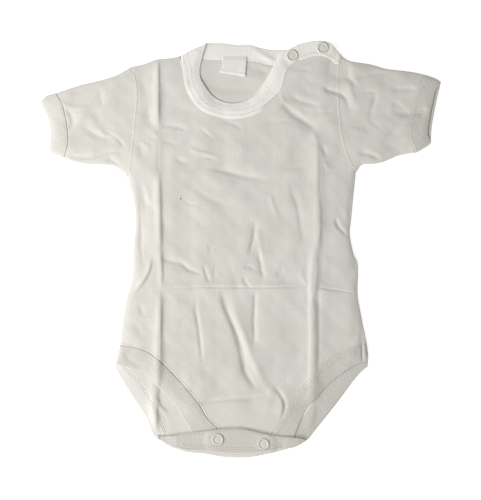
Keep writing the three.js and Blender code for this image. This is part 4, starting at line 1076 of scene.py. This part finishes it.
LABEL_SEWN, LABEL_OUT = 0.75, 0.5  # its height in the band, and the share of its length where it is out
LABEL_OVER = CLOTH / 2 + 0.35


def label_z(x, y):
    """The label comes out of the band that it is sewn into, bows up, and lifts at its loose right corner."""
    share = np.clip((181 - y) / 24, 0, 1)
    free = smooth(0.1, LABEL_OUT, share)
    lying = back_z(x, y) + LABEL_OVER + 0.2 * np.sin(np.pi * share) + 0.5 * share * smooth(-3, 4.2, x)
    return LABEL_SEWN + (lying - LABEL_SEWN) * free


def label_cloth():
    v, u = np.meshgrid(steps(28), steps(26), indexing="ij")
    places = at(label_low, u) * (1 - v[..., None]) + at(label_high, u) * v[..., None]
    weave = np.stack([u * 21.7, v * 22], -1) * MM
    return shell("label_tape", raised(places, label_z), 0.4, weave=weave, slot="label")


def label_strip():
    """The folded foot of the label, a narrow second layer over it."""
    v, u = np.meshgrid(steps(6), steps(26), indexing="ij")
    places = at(label_low, u) * (1 - v[..., None]) + at(label_high, u) * v[..., None]
    low = at(label_low, u)
    places = low + (places - low) * 0.11 - (0, 0.9)
    places[..., 0] -= 1.4 * (1 - u)
    weave = np.stack([u * 21.7, v * 4.4], -1) * MM
    return shell("label_foot", raised(places, lambda x, y: label_z(x, y) + 0.3), 0.3, weave=weave, slot="lit_label_fold")


label = dress(label_cloth(), "neck_label")
label_foot = dress(label_strip())


# Snap rings: a rolled rim and a wall down into the middle, its inner lip dented at five places where prongs bite
def snap_ring(name, centre, floor_z):
    """A profile of radius and height carried round a circle, with its inner lip dented where prongs bite."""
    profile = np.array([
        (3.3, 0.0), (5.0, 0.0), (5.2, 0.2), (5.22, 0.4), (5.1, 0.7), (4.85, 0.92), (4.5, 1.02), (4.1, 0.96),
        (3.75, 0.8), (3.5, 0.6), (3.35, 0.35)])
    around = np.arange(72) * 2 * np.pi / 72
    radius = profile[:, 0][:, None] + np.zeros(72)
    dent = 0.12 * np.cos(around * 5) * ((profile[:, 0] < 4.2) & (profile[:, 1] > 0))[:, None]
    radius = radius - dent
    z = profile[:, 1][:, None] + np.zeros(72)
    ring = np.stack([centre[0] + radius * np.cos(around), centre[1] + radius * np.sin(around), floor_z + z], -1)
    rows, columns = ring.shape[:2]
    number = np.arange(rows * columns).reshape(rows, columns)
    below = np.roll(number, -1, 0)
    faces = np.stack([number, np.roll(number, -1, 1), np.roll(below, -1, 1), below], -1).reshape(-1, 4)
    points = ring.reshape(-1, 3)
    return finish_mesh(name, points, faces, points[:, :2] * MM, "enamel")


def snap_middle(name, centre, floor_z):
    """The cloth pressed up through a ring: a low dome whose height falls as 1 - (radius / reach)^4."""
    radius = np.linspace(3.7, 0.25, 9)
    around = np.arange(36) * 2 * np.pi / 36
    rise = 0.62 * (1 - (radius / 4.0) ** 4)
    grid = np.stack([
        centre[0] + radius[:, None] * np.cos(around), centre[1] + radius[:, None] * np.sin(around),
        floor_z + rise[:, None] + np.zeros(36)], -1)
    number = np.arange(grid.shape[0] * 36).reshape(-1, 36)
    sides = quads(grid.shape[0], 36, True)
    inner = number[-1].reshape(2, 18)
    cap = np.stack([inner[0, :-1], inner[0, 1:], inner[1, ::-1][1:], inner[1, ::-1][:-1]], -1)
    outer = number[0].reshape(2, 18)
    base = np.stack([outer[0, :-1], outer[0, 1:], outer[1, ::-1][1:], outer[1, ::-1][:-1]], -1)[:, ::-1]
    points = grid.reshape(-1, 3)
    return finish_mesh(name, points, np.vstack([sides, cap, base]), points[:, :2] * MM, "interlock")


for snap_name, (centre, cloth_z) in SNAPS.items():
    dress(snap_middle(f"cloth_in_ring_{snap_name}", centre, cloth_z + CLOTH / 2 + 0.05))
    dress(snap_ring(f"ring_{snap_name}", centre, cloth_z + CLOTH / 2 + 0.1), f"snap_ring_{snap_name}")
    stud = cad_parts[f"snap_stud_{snap_name}"]
    stud.data.materials.clear()
    stud.data.materials.append(MATERIALS["enamel"])

def seam_roll(name, edge, height, wide=2.4, proud=0.45, slot="interlock", shift=0.0):
    """A soft roll of cloth along a seam: it stands proud x cos^2 of its share of half the width, and its two
    sides sink into the cloth."""
    edge = beside(edge, shift) if shift else edge
    cells = int(length_of(edge) / 1.4)
    w, t = np.meshgrid(np.linspace(-1, 1, 9), steps(cells), indexing="ij")
    middle = at(edge, t)
    ahead = unit(at(edge, t + 0.004) - at(edge, t - 0.004))
    side = np.stack([-ahead[..., 1], ahead[..., 0]], -1)
    places = middle + side * (w * wide / 2)[..., None]
    thick = 0.5
    z = height(places[..., 0], places[..., 1]) + CLOTH / 2 - thick / 2 - 0.12
    z = z + proud * np.cos(np.pi * w / 2) ** 2 - 0.5 * (1 - smooth(0, 0.05, t) * smooth(0, 0.05, 1 - t))
    weave = np.stack([t * length_of(edge), w * wide / 2], -1) * MM
    return shell(name, np.concatenate([places, z[..., None]], -1), thick, weave=weave, slot=slot)


def half_step_z(x, y):
    return front_z(x, y) + BAND_STEP / 2


def top_join_z(x, y):
    return band_z(x, y) + 0.15


dress(seam_roll("left_armhole_seam", part(armhole_left, 0.02, 0.97), front_z, 2.8, 0.34))
dress(seam_roll("right_armhole_seam", part(chain(armhole_right, placket_end), 0.03, 0.985), front_z, 4, 0.3))
NECK_SEWN_TO = share_at(neck_front_seam, 0, 21)  # from here to the placket its seam is turned under
dress(seam_roll("neck_seam", part(neck_front_seam, 0.0, NECK_SEWN_TO), half_step_z, 4.6, 0.24, "rib"))
dress(seam_roll("neck_seam_inner", part(neck_front_seam, 0.05, NECK_SEWN_TO), band_z, 3.4, 0.2, "rib", 4))
dress(seam_roll("neck_seam_end", part(neck_front_seam, share_at(neck_front_seam, 0, 34), 0.99), half_step_z, 2.4, 0.05))
dress(seam_roll("left_cuff_roll", part(cuff_seam_left, 0.04, 0.96), band_z, 3.4, 0.2, "cuff_rib", -2.8))
dress(seam_roll("right_cuff_seam", part(cuff_seam_right, 0.04, 0.96), half_step_z, 4.6, 0.14, "shaded_rib"))
dress(seam_roll("left_leg_seam", part(leg_seam_left, 0.01, 0.96), band_z, 2.8, 0.15, "shaded_rib", -1.6))
dress(seam_roll("right_leg_seam", part(leg_seam_right, 0.04, 0.99), half_step_z, 3.6, 0.28, "shaded_rib"))
dress(seam_roll("placket_seam", part(placket_seam, 0.02, 0.97), half_step_z, 2.8, 0.32, "rib"))
dress(seam_roll("back_neck_seam", part(neck_back_seam, 0.12, 0.97), back_z, 3.4, 0.14, "interlock"))
dress(seam_roll("back_leg_seam_left", part(back_seam_left, 0.03, 0.97), back_z, 3.4, 0.24, "lit_back_rib"))
dress(seam_roll("back_leg_seam_right", part(back_seam_right, 0.03, 0.97), back_z, 3.0, 0.35, "rib"))
dress(seam_roll("neck_join", straight(neck_front_seam[-1], neck_front_free[-1]), top_join_z, 2.4, 0.12, "rib"))
dress(seam_roll("placket_end_join", part(placket_end, 0.02, 0.98), top_join_z, 2.6, 0.12, "interlock"))

# Sewing: single and double rows beside the seams of the ribs
neck_sewn = part(neck_front_seam, 0.0, NECK_SEWN_TO)
dress(stitches("neck_sewing", [beside(neck_sewn, 1.2)], top_of_band, radius=0.24, lift=0.12))
dress(stitches("neck_sewing_inner", [beside(neck_sewn, 5.6)], top_of_band, radius=0.24, lift=0.05))
dress(stitches("leg_sewing", [beside(leg_seam_left, 1.6), beside(leg_seam_right, 1.6)], front_z))
dress(stitches("leg_sewing_band", [beside(edge, offset) for edge in (leg_seam_left, leg_seam_right)
                                   for offset in (-2, -4)], top_of_band))
dress(stitches("back_leg_sewing", [beside(back_seam_left, offset) for offset in (1.6, 3.4)], back_z, lift=0.14))
dress(stitches("cuff_sewing", [beside(part(cuff_seam_left, 0.04, 0.96), -3.4),
                               beside(part(cuff_seam_right, 0.04, 0.96), 1.8)], top_of_band, radius=0.22, lift=0.0))
flap_rows = [beside(flap_run, -1.4), beside(flap_run, -3.2), beside(part(flap_edge, 0.02, 0.9), 1.8)]
dress(stitches("flap_sewing", flap_rows, flap_z, lift=0.2))
dress(stitches("placket_sewing", [beside(placket_seam, 1.8)], top_of_band))

# Floor, light, camera
floor_mesh = bpy.data.meshes.new("floor")
FLOOR_HALF = 3.0
floor_corners = [(-FLOOR_HALF, -FLOOR_HALF), (FLOOR_HALF, -FLOOR_HALF), (FLOOR_HALF, FLOOR_HALF), (-FLOOR_HALF, FLOOR_HALF)]
floor_mesh.from_pydata([(x, y, -0.0002) for x, y in floor_corners], [], [(0, 1, 2, 3)])
floor = bpy.data.objects.new("floor", floor_mesh)
bpy.context.scene.collection.objects.link(floor)
floor_material, floor_tree, floor_shader = new_material("pale_floor", (0.9, 0.9, 0.9), 0.9, 0.0)
floor_shader.inputs["Emission Color"].default_value = (1, 1, 1, 1)
floor_shader.inputs["Emission Strength"].default_value = 0.6
floor_mesh.materials.append(floor_material)

world = bpy.data.worlds.new("studio")
world.use_nodes = True
world.node_tree.nodes["Background"].inputs["Color"].default_value = (1, 1, 1, 1)
world.node_tree.nodes["Background"].inputs["Strength"].default_value = 0.3
bpy.context.scene.world = world


def aimed(name, data, place):
    """A lamp at a place, turned to the middle of the garment."""
    lamp = bpy.data.objects.new(name, data)
    lamp.location = place
    bpy.context.scene.collection.objects.link(lamp)
    bpy.context.view_layer.update()
    lamp.rotation_euler = (-lamp.location).to_track_quat("-Z", "Y").to_euler()


softbox = bpy.data.lights.new("softbox", "AREA")
softbox.size = 0.65
softbox.energy = 6.3
aimed("softbox", softbox, (-0.75, -0.06, 0.5))
window = bpy.data.lights.new("window", "SUN")
window.energy = 1.1
window.angle = 0.55
aimed("window", window, (-0.5, -0.8, 0.8))

camera_data = bpy.data.cameras.new("camera")
camera = bpy.data.objects.new("camera", camera_data)
CAMERA_HEIGHT, FRAME_HEIGHT = 2.4, 0.45
camera.location = (0, -0.00045, CAMERA_HEIGHT)
camera_data.sensor_fit = "VERTICAL"
camera_data.sensor_height = 24
camera_data.lens = 24 * CAMERA_HEIGHT / FRAME_HEIGHT
camera_data.clip_end = 20
bpy.context.scene.collection.objects.link(camera)
bpy.context.scene.camera = camera
bpy.context.scene.view_settings.view_transform = "Standard"
